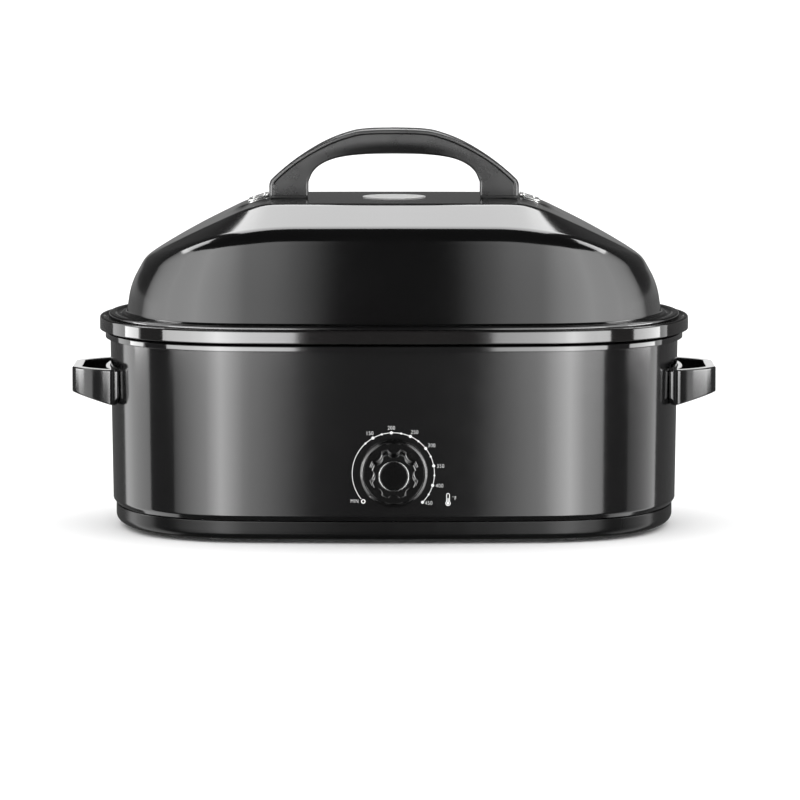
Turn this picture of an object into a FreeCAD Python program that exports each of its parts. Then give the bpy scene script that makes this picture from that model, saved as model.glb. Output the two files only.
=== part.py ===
import FreeCAD, Part
import math
import os
import Sketcher
from FreeCAD import Vector, Placement, Rotation

# Electric roaster oven, millimetres, +Z up.  The oval casing is centred on
# x = 0 and shifted along y so that the whole object is centred over the
# origin, which lies on the surface that the feet stand on.  The dial faces -y.

os.makedirs("parts", exist_ok=True)
doc = FreeCAD.newDocument("roaster_oven")

# --------------------------------------------------------------- dimensions
DIMS = [
    # master oval: half axes and the radii of its three arcs
    ("oval_a", 250.0), ("oval_b", 176.0),
    ("rad_front", 1500.0), ("rad_corner", 120.0), ("rad_end", 250.0),
    # levels
    ("foot_height", 3.4), ("floor_skin", 1.6), ("seam_z", 20.2),
    ("shell_top_z", 170.0), ("collar_z", 173.6), ("rest_z", 184.0),
    ("rim_z", 185.0), ("bead_z", 187.0), ("band_foot_z", 175.5),
    # offsets from the master oval, outward positive
    ("rim_off", 12.0), ("shell_top_off", 2.7), ("shell_low_off", -1.35),
    ("shell_skin", 0.8), ("collar_off", 7.0), ("tray_off", -4.0),
    ("tray_skin", 1.6), ("well_off", -17.0), ("well_skin", 0.7),
    ("well_floor_z", 30.0), ("pan_mouth_off", -28.0), ("pan_low_off", -38.0),
    ("pan_skin", 1.0), ("pan_floor_z", 39.2), ("pan_corner", 24.0),
    # heating
    ("band_low_z", 47.0), ("band_high_z", 97.0), ("band_gauge", 1.6),
    ("blanket_in", -14.6), ("blanket_out", -4.8),
    ("blanket_low_z", 35.0), ("blanket_high_z", 163.0),
    ("reflector_off", -40.0), ("reflector_z", 15.0), ("reflector_skin", 0.6),
    ("plate_off", -40.0), ("plate_skin", 0.8),
    ("post_x", 120.0), ("post_y", 80.0), ("post_rad", 4.0), ("screw_rad", 1.7),
    ("foot_x", 154.5), ("foot_y", 131.0), ("foot_rad", 5.35),
    # control knob
    ("knob_z", 62.8), ("knob_seat", 175.65), ("skirt_gap", 1.6),
    ("skirt_rad", 29.4), ("dish_rad", 26.5), ("grip_low_rad", 21.0),
    ("grip_top_rad", 20.0), ("knob_len", 28.5), ("dish_len", 6.4),
    ("cap_rad", 13.2), ("spindle_rad", 3.0), ("flute_rad", 6.2),
    ("flutes", 8.0),
    # side handles
    ("grip_out_x", 285.5), ("grip_high_z", 143.0), ("grip_low_z", 111.6),
    ("grip_wall", 8.6), ("grip_half_y", 72.0), ("lug_y", 63.0), ("lug_z", 127.0),
    # lid
    ("lid_z", 190.0), ("lid_flange_off", 4.0), ("lid_foot_off", -12.0),
    ("lid_skin", 1.0), ("lid_hem", 5.0),
    ("handle_half", 111.0), ("handle_top", 62.0), ("handle_depth", 32.0),
    ("handle_leg", 35.0), ("gasket_skin", 2.5), ("leg_x", 93.5),
    ("vent_x", 123.0), ("vent_y", 52.0), ("badge_rad", 28.0),
    # rack
    ("rack_x", 171.5), ("rack_y", 112.0), ("rack_z", 55.0),
    ("rack_wire", 1.5), ("rung_wire", 1.2), ("rung_pitch", 20.0),
    ("loop_wire", 1.4), ("loop_len", 155.0), ("loop_foot", 40.0),
    ("loop_head", 20.0), ("loop_lean", 20.0),
]
# lid dome: level above the flange, half length, half width, three radii
DOME = [
    (0.0, 238.0, 164.0, 1488.0, 108.0, 238.0),
    (11.5, 236.0, 162.2, 1488.0, 108.0, 238.0),
    (33.5, 230.0, 158.6, 1486.0, 106.0, 230.0),
    (49.0, 222.0, 155.6, 1486.0, 102.0, 222.0),
    (62.0, 199.0, 153.2, 890.0, 96.0, 190.0),
    (76.0, 173.0, 150.0, 890.0, 84.0, 260.0),
    (87.0, 148.0, 137.0, 890.0, 62.0, 400.0),
    (95.0, 131.0, 113.0, 890.0, 40.0, 600.0),
    (101.0, 111.0, 93.0, 890.0, 24.0, 700.0),
]

sheet = doc.addObject("Spreadsheet::Sheet", "Dims")
sheet.Label = "Dims"
VALUES = {}


def cell(alias, value):
    row = len(VALUES) + 1
    sheet.set("A%d" % row, alias)
    sheet.set("B%d" % row, repr(float(value)))
    sheet.setAlias("B%d" % row, alias)
    VALUES[alias] = float(value)


for alias, value in DIMS:
    cell(alias, value)
for i, row in enumerate(DOME):
    for key, value in zip(("level", "half_a", "half_b", "ra", "rb", "rc"), row):
        cell("dome%d_%s" % (i, key), value)
doc.recompute()


class Q:
    """A dimension with its number and its formula in cells of the sheet."""

    def __init__(self, value, text):
        self.v = float(value)
        self.e = text

    def __add__(self, o):
        o = q(o)
        return Q(self.v + o.v, "(%s + %s)" % (self.e, o.e))

    def __radd__(self, o):
        return q(o) + self

    def __sub__(self, o):
        o = q(o)
        return Q(self.v - o.v, "(%s - %s)" % (self.e, o.e))

    def __rsub__(self, o):
        return q(o) - self

    def __mul__(self, o):
        o = q(o)
        return Q(self.v * o.v, "(%s * %s)" % (self.e, o.e))

    def __rmul__(self, o):
        return q(o) * self

    def __truediv__(self, o):
        o = q(o)
        return Q(self.v / o.v, "(%s / %s)" % (self.e, o.e))

    def __neg__(self):
        return Q(-self.v, "(0 - %s)" % self.e)


def q(x):
    return x if isinstance(x, Q) else Q(x, repr(float(x)))


def D(alias):
    return Q(VALUES[alias], "Dims." + alias)


# the knob's front and the rim's back bound the object along y
Y_SHIFT = ((D("knob_seat") + D("knob_len")) - (D("oval_b") + D("rim_off"))) / 2

parts = []


# ------------------------------------------------------------------ helpers
def bind(obj, prop, value):
    value = q(value)
    if "Dims." in value.e:
        obj.setExpression(prop, value.e)


def new_body(label, shift=True):
    b = doc.addObject("PartDesign::Body", label)
    b.Label = label
    if hasattr(b, "AllowCompound"):
        b.AllowCompound = True
    parts.append(b)
    if shift:
        b.Placement = Placement(Vector(0, Y_SHIFT.v, 0), Rotation())
        b.setExpression("Placement.Base.y", Y_SHIFT.e)
    return b


def place(b, x, y, z, rot):
    """put a body at x, y, z of the oval's frame, turned by rot"""
    x, y, z = q(x), q(y) + Y_SHIFT, q(z)
    b.Placement = Placement(Vector(x.v, y.v, z.v), rot)
    for axis, val in (("x", x), ("y", y), ("z", z)):
        bind(b, "Placement.Base." + axis, val)


def plane(b, role):
    for f in b.Origin.OriginFeatures:
        if f.Role == role:
            return f
    raise RuntimeError(role)


def sketch(b, name, role="XY_Plane", off=0.0):
    s = b.newObject("Sketcher::SketchObject", name)
    s.AttachmentSupport = [(plane(b, role), "")]
    s.MapMode = "FlatFace"
    off = q(off)
    s.AttachmentOffset = Placement(Vector(0, 0, off.v), Rotation())
    bind(s, "AttachmentOffset.Base.z", off)
    return s


def con(s, kind, *args):
    """a constraint; a last Q argument is bound to the sheet"""
    if args and isinstance(args[-1], Q):
        val = args[-1]
        i = s.addConstraint(Sketcher.Constraint(kind, *args[:-1], val.v))
        bind(s, "Constraints[%d]" % i, val)
        return i
    return s.addConstraint(Sketcher.Constraint(kind, *args))


def locate(s, geo, pos, x, y):
    """tie a point to the sketch's origin"""
    for kind, val in (("DistanceX", q(x)), ("DistanceY", q(y))):
        if abs(val.v) < 1e-9 and "Dims." not in val.e:
            con(s, "PointOnObject", geo, pos, -2 if kind == "DistanceX" else -1)
        else:
            con(s, kind, -1, 1, geo, pos, val)


def circle(s, x, y, r):
    x, y, r = q(x), q(y), q(r)
    g = s.addGeometry(Part.Circle(Vector(x.v, y.v, 0), Vector(0, 0, 1), r.v), False)
    if abs(x.v) < 1e-9 and abs(y.v) < 1e-9:
        con(s, "Coincident", g, 3, -1, 1)
    else:
        locate(s, g, 3, x, y)
    con(s, "Radius", g, r)
    return g


def outline(s, pts, closed=True):
    """polygon or open path; a third number in a point is its corner radius"""
    pts = [(q(p[0]), q(p[1]), q(p[2]) if len(p) > 2 else q(0)) for p in pts]
    n = len(pts)
    m = n if closed else n - 1
    rounded = any(p[2].v > 0 for p in pts)
    vec = [Vector(p[0].v, p[1].v, 0) for p in pts]
    base = s.addGeometry(
        [Part.LineSegment(vec[i], vec[(i + 1) % n]) for i in range(m)], rounded)[0]
    for i in range(m if closed else m - 1):
        con(s, "Coincident", base + i, 2, base + (i + 1) % n, 1)
    for i in range(n):
        if i < m:
            locate(s, base + i, 1, pts[i][0], pts[i][1])
        else:
            locate(s, base + m - 1, 2, pts[i][0], pts[i][1])
    if not rounded:
        return
    tin, tout, arcs = list(vec), list(vec), {}
    for i in range(n):
        r = pts[i][2].v
        if r <= 0:
            continue
        a = (vec[i - 1] - vec[i]).normalize()
        c = (vec[(i + 1) % n] - vec[i]).normalize()
        half = a.getAngle(c) / 2
        t = r / math.tan(half)
        tin[i] = vec[i] + a * t
        tout[i] = vec[i] + c * t
        mid = (a + c).normalize()
        centre = vec[i] + mid * (r / math.sin(half))
        left = (vec[i] - vec[i - 1]).cross(vec[(i + 1) % n] - vec[i]).z > 0
        arcs[i] = (centre, r, left)
    lines = s.addGeometry(
        [Part.LineSegment(tout[i], tin[(i + 1) % n]) for i in range(m)], False)
    for i in range(m):
        j = (i + 1) % n
        if i in arcs:
            con(s, "PointOnObject", lines[i], 1, base + i)
        else:
            con(s, "Coincident", lines[i], 1, base + i, 1)
        if j in arcs:
            con(s, "PointOnObject", lines[i], 2, base + i)
        else:
            con(s, "Coincident", lines[i], 2, base + i, 2)
    for i, (centre, r, left) in arcs.items():
        a0 = math.atan2(tin[i].y - centre.y, tin[i].x - centre.x)
        a1 = math.atan2(tout[i].y - centre.y, tout[i].x - centre.x)
        if not left:
            a0, a1 = a1, a0
        if a1 <= a0:
            a1 += 2 * math.pi
        g = s.addGeometry(Part.ArcOfCircle(
            Part.Circle(centre, Vector(0, 0, 1), r), a0, a1), False)
        first, last = (1, 2) if left else (2, 1)
        con(s, "Tangent", lines[(i - 1) % n], 2, g, first)
        con(s, "Tangent", g, last, lines[i], 1)
        con(s, "Radius", g, pts[i][2])


def oval_centres(a, b, ra, rb, rc):
    c1 = (0.0, b - ra)
    c3 = (a - rc, 0.0)
    d = math.hypot(c3[0] - c1[0], c3[1] - c1[1])
    x = ((ra - rb) ** 2 - (rc - rb) ** 2 + d * d) / (2 * d)
    high = math.sqrt((ra - rb) ** 2 - x * x)
    ux, uy = (c3[0] - c1[0]) / d, (c3[1] - c1[1]) / d
    c2 = (c1[0] + ux * x + uy * high, c1[1] + uy * x - ux * high)
    return c1, c2, c3


def oval(s, off=0.0, a=None, b=None, ra=None, rb=None, rc=None):
    """closed oval of eight tangent arcs, from the +x end, anticlockwise"""
    off = q(off)
    a = q(a) if a is not None else D("oval_a")
    b = q(b) if b is not None else D("oval_b")
    ra = q(ra) if ra is not None else D("rad_front")
    rb = q(rb) if rb is not None else D("rad_corner")
    rc = q(rc) if rc is not None else D("rad_end")
    c1, c2, c3 = oval_centres(a.v, b.v, ra.v, rb.v, rc.v)
    a12 = math.atan2(c2[1] - c1[1], c2[0] - c1[0])
    a23 = math.atan2(c2[1] - c3[1], c2[0] - c3[0])
    if not 0 < a23 < a12 < math.pi / 2:
        raise RuntimeError("oval arcs out of order")
    pi = math.pi
    spec = [
        (c3, rc, -a23, a23), (c2, rb, a23, a12), (c1, ra, a12, pi - a12),
        ((-c2[0], c2[1]), rb, pi - a12, pi - a23),
        ((-c3[0], 0), rc, pi - a23, pi + a23),
        ((-c2[0], -c2[1]), rb, pi + a23, pi + a12),
        ((0, -c1[1]), ra, pi + a12, 2 * pi - a12),
        ((c2[0], -c2[1]), rb, 2 * pi - a12, 2 * pi - a23)]
    g = s.addGeometry([Part.ArcOfCircle(Part.Circle(
        Vector(c[0], c[1], 0), Vector(0, 0, 1), r.v + off.v), s0, s1)
        for c, r, s0, s1 in spec], False)
    for i in range(8):
        con(s, "Tangent", g[i], 2, g[(i + 1) % 8], 1)
    for i in range(8):
        con(s, "Radius", g[i], spec[i][1] + off)
    for i, ax in ((0, -1), (4, -1), (2, -2), (6, -2)):
        con(s, "PointOnObject", g[i], 3, ax)
    con(s, "DistanceX", -1, 1, g[0], 3, a - rc)
    con(s, "DistanceX", -1, 1, g[4], 3, rc - a)
    con(s, "DistanceY", -1, 1, g[2], 3, b - ra)
    con(s, "DistanceY", -1, 1, g[6], 3, ra - b)


def done(f):
    doc.recompute()
    if f.State and ("Invalid" in f.State or "Error" in f.State):
        raise RuntimeError("%s failed: %s" % (f.Name, f.State))
    return f


def pad(b, s, length, mid=False, rev=False, name="Pad"):
    f = b.newObject("PartDesign::Pad", name)
    f.Profile = s
    f.Length = q(length).v
    bind(f, "Length", length)
    f.Midplane = mid
    f.Reversed = rev
    return done(f)


def pocket(b, s, length, mid=False, rev=False, name="Pocket"):
    before = b.Tip.Shape.Volume
    f = b.newObject("PartDesign::Pocket", name)
    f.Profile = s
    f.Length = q(length).v
    bind(f, "Length", length)
    f.Midplane = mid
    f.Reversed = rev
    done(f)
    if not f.Shape.Volume < before - 1e-3:
        raise RuntimeError("%s of %s removes nothing" % (f.Name, b.Label))
    return f


def pipe(b, profile, spine, name="Sweep"):
    f = b.newObject("PartDesign::AdditivePipe", name)
    f.Profile = profile
    f.Spine = (spine, [])
    return done(f)


def loft(b, sections, cut=False, name="Loft"):
    kind = "SubtractiveLoft" if cut else "AdditiveLoft"
    f = b.newObject("PartDesign::" + kind, name)
    f.Profile = sections[0]
    f.Sections = sections[1:]
    f.Ruled = True
    return done(f)


def turn(b, s, axis="V_Axis", name="Turn"):
    f = b.newObject("PartDesign::Revolution", name)
    f.Profile = s
    f.ReferenceAxis = (s, [axis])
    f.Angle = 360
    return done(f)


def soften(b, radii, pick, name="Fillet"):
    """round the edges that pick() accepts with the first radius that holds"""
    tip = b.Tip
    names = ["Edge%d" % (i + 1) for i, e in enumerate(tip.Shape.Edges) if pick(e)]
    if not names:
        raise RuntimeError("no edge to round on " + b.Label)
    for i, radius in enumerate(radii):
        f = b.newObject("PartDesign::Fillet", "%s%d" % (name, i))
        f.Base = (tip, names)
        f.Radius = q(radius).v
        bind(f, "Radius", radius)
        doc.recompute()
        if not ("Invalid" in f.State or "Error" in f.State or f.Shape.isNull()
                or not f.Shape.isValid()):
            return f
        b.removeObject(f)
        doc.removeObject(f.Name)
        b.Tip = tip
        doc.recompute()
    print("left sharp:", b.Label, name)
    return None


def ring(label, profile, name="Ring"):
    """a section carried round the master oval"""
    b = new_body(label)
    spine = sketch(b, "Oval")
    oval(spine)
    sec = sketch(b, "Section", "XZ_Plane")
    a = D("oval_a")
    outline(sec, [(a + p[0],) + tuple(p[1:]) for p in profile])
    pipe(b, sec, spine, name)
    return b


def oval_plate(b, off, low, thick, name="Plate"):
    s = sketch(b, name + "Outline", "XY_Plane", low)
    oval(s, off)
    return pad(b, s, thick, name=name)


Z_OUT = Rotation(Vector(1, 0, 0), 90)      # local z looks out of the front
Z_BACK = Rotation(Vector(1, 0, 0), -90)    # local z looks out of the back

# -------------------------------------------------------------------- base
sk_off, low_off, top_off = D("shell_skin"), D("shell_low_off"), D("shell_top_off")
seam, tray = D("seam_z"), D("tray_off")
fl = D("foot_height")

b = ring("base_tray", [
    (tray, seam), (tray, fl, 12.0), (-48.0, fl), (-48.0, fl + D("floor_skin")),
    (tray - D("tray_skin"), fl + D("floor_skin"), 10.4), (tray - D("tray_skin"), seam)])
s = sketch(b, "FootHoles", "XY_Plane", fl - 1)
for sx in (-1, 1):
    for sy in (-1, 1):
        circle(s, D("foot_x") * sx, D("foot_y") * sy, 3.0)
pocket(b, s, 4.0, rev=True, name="FootHole")

floor_top = fl + D("floor_skin")
b = new_body("bottom_plate")
oval_plate(b, D("plate_off"), floor_top, D("plate_skin"))
s = sketch(b, "Slots", "XY_Plane", floor_top - 1)
for i in range(-4, 5):
    x = 18.0 * i
    outline(s, [(x - 2.5, -30.0), (x + 2.5, -30.0), (x + 2.5, 30.0), (x - 2.5, 30.0)])
pocket(b, s, 4.0, rev=True, name="AirSlots")
s = sketch(b, "ScrewHoles", "XY_Plane", floor_top - 1)
for sx in (-1, 1):
    for sy in (-1, 1):
        circle(s, D("post_x") * sx, D("post_y") * sy, D("screw_rad") + 0.3)
pocket(b, s, 4.0, rev=True, name="ScrewHole")

b = new_body("rubber_feet")
s = sketch(b, "Pads")
for sx in (-1, 1):
    for sy in (-1, 1):
        circle(s, D("foot_x") * sx, D("foot_y") * sy, D("foot_rad"))
pad(b, s, fl, name="FootPad")
s = sketch(b, "Stems", "XY_Plane", fl)
for sx in (-1, 1):
    for sy in (-1, 1):
        circle(s, D("foot_x") * sx, D("foot_y") * sy, 2.9)
pad(b, s, D("floor_skin"), name="Stem")
s = sketch(b, "Barbs", "XY_Plane", floor_top)
for sx in (-1, 1):
    for sy in (-1, 1):
        circle(s, D("foot_x") * sx, D("foot_y") * sy, 4.2)
pad(b, s, 1.8, name="Barb")

plate_top = floor_top + D("plate_skin")
well_under = D("well_floor_z") - D("well_skin")
b = new_body("base_posts")
s = sketch(b, "Posts", "XY_Plane", plate_top)
for sx in (-1, 1):
    for sy in (-1, 1):
        circle(s, D("post_x") * sx, D("post_y") * sy, D("post_rad"))
        circle(s, D("post_x") * sx, D("post_y") * sy, D("screw_rad"))
pad(b, s, well_under - plate_top, name="Post")

b = new_body("base_screws")
s = sketch(b, "Heads", "XY_Plane", floor_top - 2.2)
for sx in (-1, 1):
    for sy in (-1, 1):
        circle(s, D("post_x") * sx, D("post_y") * sy, 3.6)
pad(b, s, 2.2, name="Head")
s = sketch(b, "Shanks", "XY_Plane", floor_top)
for sx in (-1, 1):
    for sy in (-1, 1):
        circle(s, D("post_x") * sx, D("post_y") * sy, D("screw_rad"))
pad(b, s, 12.0, name="Shank")
s = sketch(b, "Recess", "XY_Plane", floor_top - 2.2)
for sx in (-1, 1):
    for sy in (-1, 1):
        x, y = D("post_x") * sx, D("post_y") * sy
        outline(s, [(x - 2.0, y - 0.5), (x + 2.0, y - 0.5), (x + 2.0, y + 0.5), (x - 2.0, y + 0.5)])
pocket(b, s, 1.1, rev=True, name="Slot")

# ------------------------------------------------------------------ casing
b = ring("outer_shell", [
    (top_off, D("shell_top_z")), (low_off, seam + 4.4, 3.6), (-4.6, seam, 0.8),
    (-9.0, seam), (-9.0, seam + sk_off), (-5.0, seam + sk_off, 0.6),
    (low_off - sk_off, seam + 4.66, 2.8), (top_off - sk_off, D("shell_top_z"))])
s = sketch(b, "SpindleHole", "XZ_Plane", 160.0)
circle(s, 0.0, D("knob_z"), 4.6)
circle(s, -14.0, D("knob_z"), 1.8)
circle(s, 14.0, D("knob_z"), 1.8)
pocket(b, s, 40.0, rev=True, name="FrontHoles")
s = sketch(b, "GlandHole", "XZ_Plane", -160.0)
circle(s, 0.0, 50.0, 7.2)
pocket(b, s, 40.0, name="BackHole")
for side, sx in (("Left", -1), ("Right", 1)):
    s = sketch(b, side + "LugHoles", "YZ_Plane", 225.0 * sx)
    for sy in (-1, 1):
        circle(s, D("lug_y") * sy, D("lug_z"), 2.5)
    pocket(b, s, 40.0, rev=(sx > 0), name=side + "Lugs")

ring("top_collar", [
    (D("collar_off"), 168.0), (D("collar_off"), D("collar_z"), 1.5),
    (-0.8, D("collar_z"), 0.8), (-0.8, D("rest_z")), (-3.0, D("rest_z")),
    (-3.0, D("shell_top_z") + D("well_skin")), (3.2, D("shell_top_z") + D("well_skin")),
    (3.2, 168.0)])

well, wsk, wfl = D("well_off"), D("well_skin"), D("well_floor_z")
b = ring("heat_well", [
    (2.7, D("shell_top_z")), (2.7, D("shell_top_z") + wsk),
    (well - wsk, D("shell_top_z") + wsk), (well - wsk, wfl, 12.0), (-60.0, wfl),
    (-60.0, wfl - wsk), (well, wfl - wsk, 12.8), (well, D("shell_top_z"))])
oval_plate(b, -59.0, wfl - wsk, wsk)

# ----------------------------------------------------------------- heating
ring("heater_band", [
    (well + 0.1, D("band_low_z")), (well + 0.1 + D("band_gauge"), D("band_low_z")),
    (well + 0.1 + D("band_gauge"), D("band_high_z")), (well + 0.1, D("band_high_z"))])

b = ring("insulation_blanket", [
    (D("blanket_in"), D("blanket_low_z")), (D("blanket_out"), D("blanket_low_z")),
    (D("blanket_out"), D("blanket_high_z")), (D("blanket_in"), D("blanket_high_z"))])
s = sketch(b, "FrontWindow", "XZ_Plane", 120.0)
outline(s, [(-64.0, 34.0), (64.0, 34.0), (64.0, 119.0), (-64.0, 119.0)])
pocket(b, s, 80.0, rev=True, name="ControlWindow")
s = sketch(b, "BackWindow", "XZ_Plane", -120.0)
outline(s, [(-14.0, 34.0), (14.0, 34.0), (14.0, 63.0), (-14.0, 63.0)])
pocket(b, s, 80.0, name="LeadWindow")

b = new_body("heat_reflector")
oval_plate(b, D("reflector_off"), D("reflector_z"), D("reflector_skin"))
s = sketch(b, "PostHoles", "XY_Plane", D("reflector_z") - 1)
for sx in (-1, 1):
    for sy in (-1, 1):
        circle(s, D("post_x") * sx, D("post_y") * sy, D("post_rad") + 0.5)
pocket(b, s, 4.0, rev=True, name="PostHole")

b = new_body("heater_terminals")
for side, x in (("Left", -48.0), ("Right", 48.0)):
    s = sketch(b, side + "Tab", "XZ_Plane", 160.3)
    outline(s, [(x - 5.0, 65.0), (x + 5.0, 65.0), (x + 5.0, 83.0), (x - 5.0, 83.0)])
    pad(b, s, 4.6, name=side + "Block")

# ---------------------------------------------------------------- controls
seat, kz = D("knob_seat"), D("knob_z")
b = new_body("thermostat", False)
place(b, 0.0, -seat, kz, Z_OUT)
s = sketch(b, "Case", "XY_Plane", -13.4)
outline(s, [(-16.0, -15.0, 3.0), (16.0, -15.0, 3.0), (16.0, 15.0, 3.0), (-16.0, 15.0, 3.0)])
pad(b, s, 10.0, name="CaseBlock")
s = sketch(b, "SpindleBore", "XY_Plane", -3.4)
circle(s, 0.0, 0.0, D("spindle_rad") + 0.05)
pocket(b, s, 8.0, name="SpindleSeat")

b = new_body("thermostat_bracket", False)
place(b, 0.0, -seat, kz, Z_OUT)
s = sketch(b, "Strap", "XY_Plane", -3.4)
outline(s, [(-26.0, -13.0, 2.0), (26.0, -13.0, 2.0), (26.0, 13.0, 2.0), (-26.0, 13.0, 2.0)])
circle(s, 0.0, 0.0, 4.6)
circle(s, -14.0, 0.0, 1.6)
circle(s, 14.0, 0.0, 1.6)
pad(b, s, 1.2, name="StrapPlate")

b = new_body("thermostat_screws", False)
place(b, 0.0, -seat, kz, Z_OUT)
s = sketch(b, "Heads", "XY_Plane", 0.13)
circle(s, -14.0, 0.0, 2.9)
circle(s, 14.0, 0.0, 2.9)
pad(b, s, 0.85, name="Head")
s = sketch(b, "Shanks", "XY_Plane", -3.4)
circle(s, -14.0, 0.0, 1.5)
circle(s, 14.0, 0.0, 1.5)
pad(b, s, 3.6, name="Shank")

b = new_body("thermostat_probe")
path = sketch(b, "Capillary", "XZ_Plane", 164.5)
outline(path, [(8.0, kz + 15.0), (8.0, 109.0, 8.0), (-40.0, 109.0)], closed=False)
s = sketch(b, "Bore", "XY_Plane", kz + 15.0)
circle(s, 8.0, -164.5, 0.8)
pipe(b, s, path, name="Tube")
s = sketch(b, "Bulb", "YZ_Plane", -44.0)
circle(s, -164.5, 109.0, 2.2)
pad(b, s, 40.0, name="BulbRod")

b = new_body("inner_lead")
path = sketch(b, "Run", "YZ_Plane")
outline(path, [(163.6, 50.0), (163.6, 9.2, 9.0), (-164.0, 9.2, 9.0), (-164.0, kz - 15.2)],
        closed=False)
s = sketch(b, "Core", "XY_Plane", 50.0)
circle(s, 0.0, 163.6, 2.3)
pipe(b, s, path, name="Lead")

b = new_body("cord_gland", False)
place(b, 0.0, 175.2, 50.0, Z_BACK)
s = sketch(b, "Section", "XZ_Plane")
outline(s, [(4.0, -6.0), (6.9, -6.0), (6.9, 0.5), (10.0, 0.5), (10.0, 3.4, 1.2),
            (7.6, 6.6, 0.8), (4.0, 6.6)])
turn(b, s, name="Bush")

# -------------------------------------------------------------------- knob
b = new_body("knob", False)
place(b, 0.0, -seat, kz, Z_OUT)
s = sketch(b, "Section", "XZ_Plane")
L, gap = D("knob_len"), D("skirt_gap")
outline(s, [
    (D("spindle_rad"), gap), (D("skirt_rad"), gap), (D("skirt_rad"), 6.2, 0.6),
    (D("dish_rad") + 0.5, 7.6, 0.3), (D("dish_rad"), D("dish_len"), 0.4),
    (D("grip_low_rad"), D("dish_len")), (D("grip_top_rad"), L, 1.0),
    (D("cap_rad") + 0.1, L), (D("cap_rad") + 0.1, L - 1.6), (D("spindle_rad"), L - 1.6)])
turn(b, s, name="Body")
s = sketch(b, "Flute", "XY_Plane", L)
circle(s, D("grip_low_rad") + 1.9, 0.0, D("flute_rad"))
f = pocket(b, s, L - D("dish_len"), name="FluteCut")
p = b.newObject("PartDesign::PolarPattern", "Flutes")
p.Originals = [f]
p.Axis = (plane(b, "Z_Axis"), [""])
p.Angle = 360
p.Occurrences = 8
bind(p, "Occurrences", D("flutes"))
b.Tip = p
done(p)

b = new_body("knob_cap", False)
place(b, 0.0, -seat, kz, Z_OUT)
s = sketch(b, "Disc", "XY_Plane", L - 1.6)
circle(s, 0.0, 0.0, D("cap_rad"))
pad(b, s, 1.3, name="CapDisc")

b = new_body("thermostat_shaft", False)
place(b, 0.0, -seat, kz, Z_OUT)
s = sketch(b, "Rod", "XY_Plane", -9.0)
circle(s, 0.0, 0.0, D("spindle_rad"))
pad(b, s, L - 1.6 + 9.0, name="Spindle")

# ------------------------------------------------------------ side handles
ox, hy, zt, zl = D("grip_out_x"), D("grip_half_y"), D("grip_high_z"), D("grip_low_z")
w = D("grip_wall")
for label, sx in (("side_handle_left", -1), ("side_handle_right", 1)):
    b = new_body(label)
    s = sketch(b, "Plan", "XY_Plane", zl)
    tip = hy - 35.0
    pts = [(232.0, -hy), (246.5, -hy, 2.0), (ox, -tip, 12.0), (ox, tip, 12.0),
           (246.5, hy, 2.0), (232.0, hy)]
    outline(s, [(q(p[0]) * sx,) + tuple(p[1:]) for p in pts])
    pad(b, s, zt - zl, name="Loop")
    s = sketch(b, "Opening", "XY_Plane", zt)
    pts = [(228.0, -hy + 18.0), (252.0, -hy + 18.0, 6.0), (ox - w, -tip + 3.0, 9.0),
           (ox - w, tip - 3.0, 9.0), (252.0, hy - 18.0, 6.0), (228.0, hy - 18.0)]
    outline(s, [(q(p[0]) * sx,) + tuple(p[1:]) for p in pts])
    pocket(b, s, zt - zl + 1, name="FingerGap")
    s = sketch(b, "Slope", "XZ_Plane")
    outline(s, [(246.0 * sx, zl - 2), (294.0 * sx, zl - 2), (294.0 * sx, zl + 11.4),
                (248.0 * sx, zl)])
    pocket(b, s, 200.0, mid=True, name="Underside")
    # moulded plate that lies against the casing
    s = sketch(b, "Plate", "XY_Plane", zl + 0.6)
    cx, r0, r1 = (D("oval_a") - D("rad_end")) * sx, D("rad_end") + 2.9, D("rad_end") + 8.4
    ye = (hy + 5.0).v
    a0, a1 = math.asin(ye / r0.v), math.asin(ye / r1.v)
    flip = math.pi if sx < 0 else 0.0
    c = Vector(cx.v, 0, 0)
    gi = s.addGeometry(Part.ArcOfCircle(Part.Circle(c, Vector(0, 0, 1), r0.v),
                                        flip - a0, flip + a0), False)
    go = s.addGeometry(Part.ArcOfCircle(Part.Circle(c, Vector(0, 0, 1), r1.v),
                                        flip - a1, flip + a1), False)

    def on(r, a):
        return Vector(c.x + r * math.cos(a), r * math.sin(a), 0)

    l0 = s.addGeometry(Part.LineSegment(on(r0.v, flip - a0), on(r1.v, flip - a1)), False)
    l1 = s.addGeometry(Part.LineSegment(on(r1.v, flip + a1), on(r0.v, flip + a0)), False)
    con(s, "Coincident", gi, 1, l0, 1)
    con(s, "Coincident", l0, 2, go, 1)
    con(s, "Coincident", go, 2, l1, 1)
    con(s, "Coincident", l1, 2, gi, 2)
    con(s, "PointOnObject", gi, 3, -1)
    con(s, "PointOnObject", go, 3, -1)
    con(s, "DistanceX", -1, 1, gi, 3, cx)
    con(s, "DistanceX", -1, 1, go, 3, cx)
    con(s, "Radius", gi, r0)
    con(s, "Radius", go, r1)
    con(s, "Horizontal", l0)
    con(s, "Horizontal", l1)
    con(s, "DistanceY", -1, 1, l0, 1, q(-ye * (1 if sx > 0 else -1)))
    con(s, "DistanceY", -1, 1, l1, 1, q(ye * (1 if sx > 0 else -1)))
    pad(b, s, zt - zl - 1.2, name="PlatePad")
    # seat: nothing of the handle reaches into the casing
    s = sketch(b, "Seat", "XY_Plane", zt + 10.0)
    oval(s, 2.9)
    pocket(b, s, zt - zl + 20.0, name="SeatCut")
    s = sketch(b, "LugBores", "YZ_Plane", 225.0 * sx)
    for sy in (-1, 1):
        circle(s, D("lug_y") * sy, D("lug_z"), 2.0)
    pocket(b, s, 28.0, rev=(sx > 0), name="LugBore")

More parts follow.
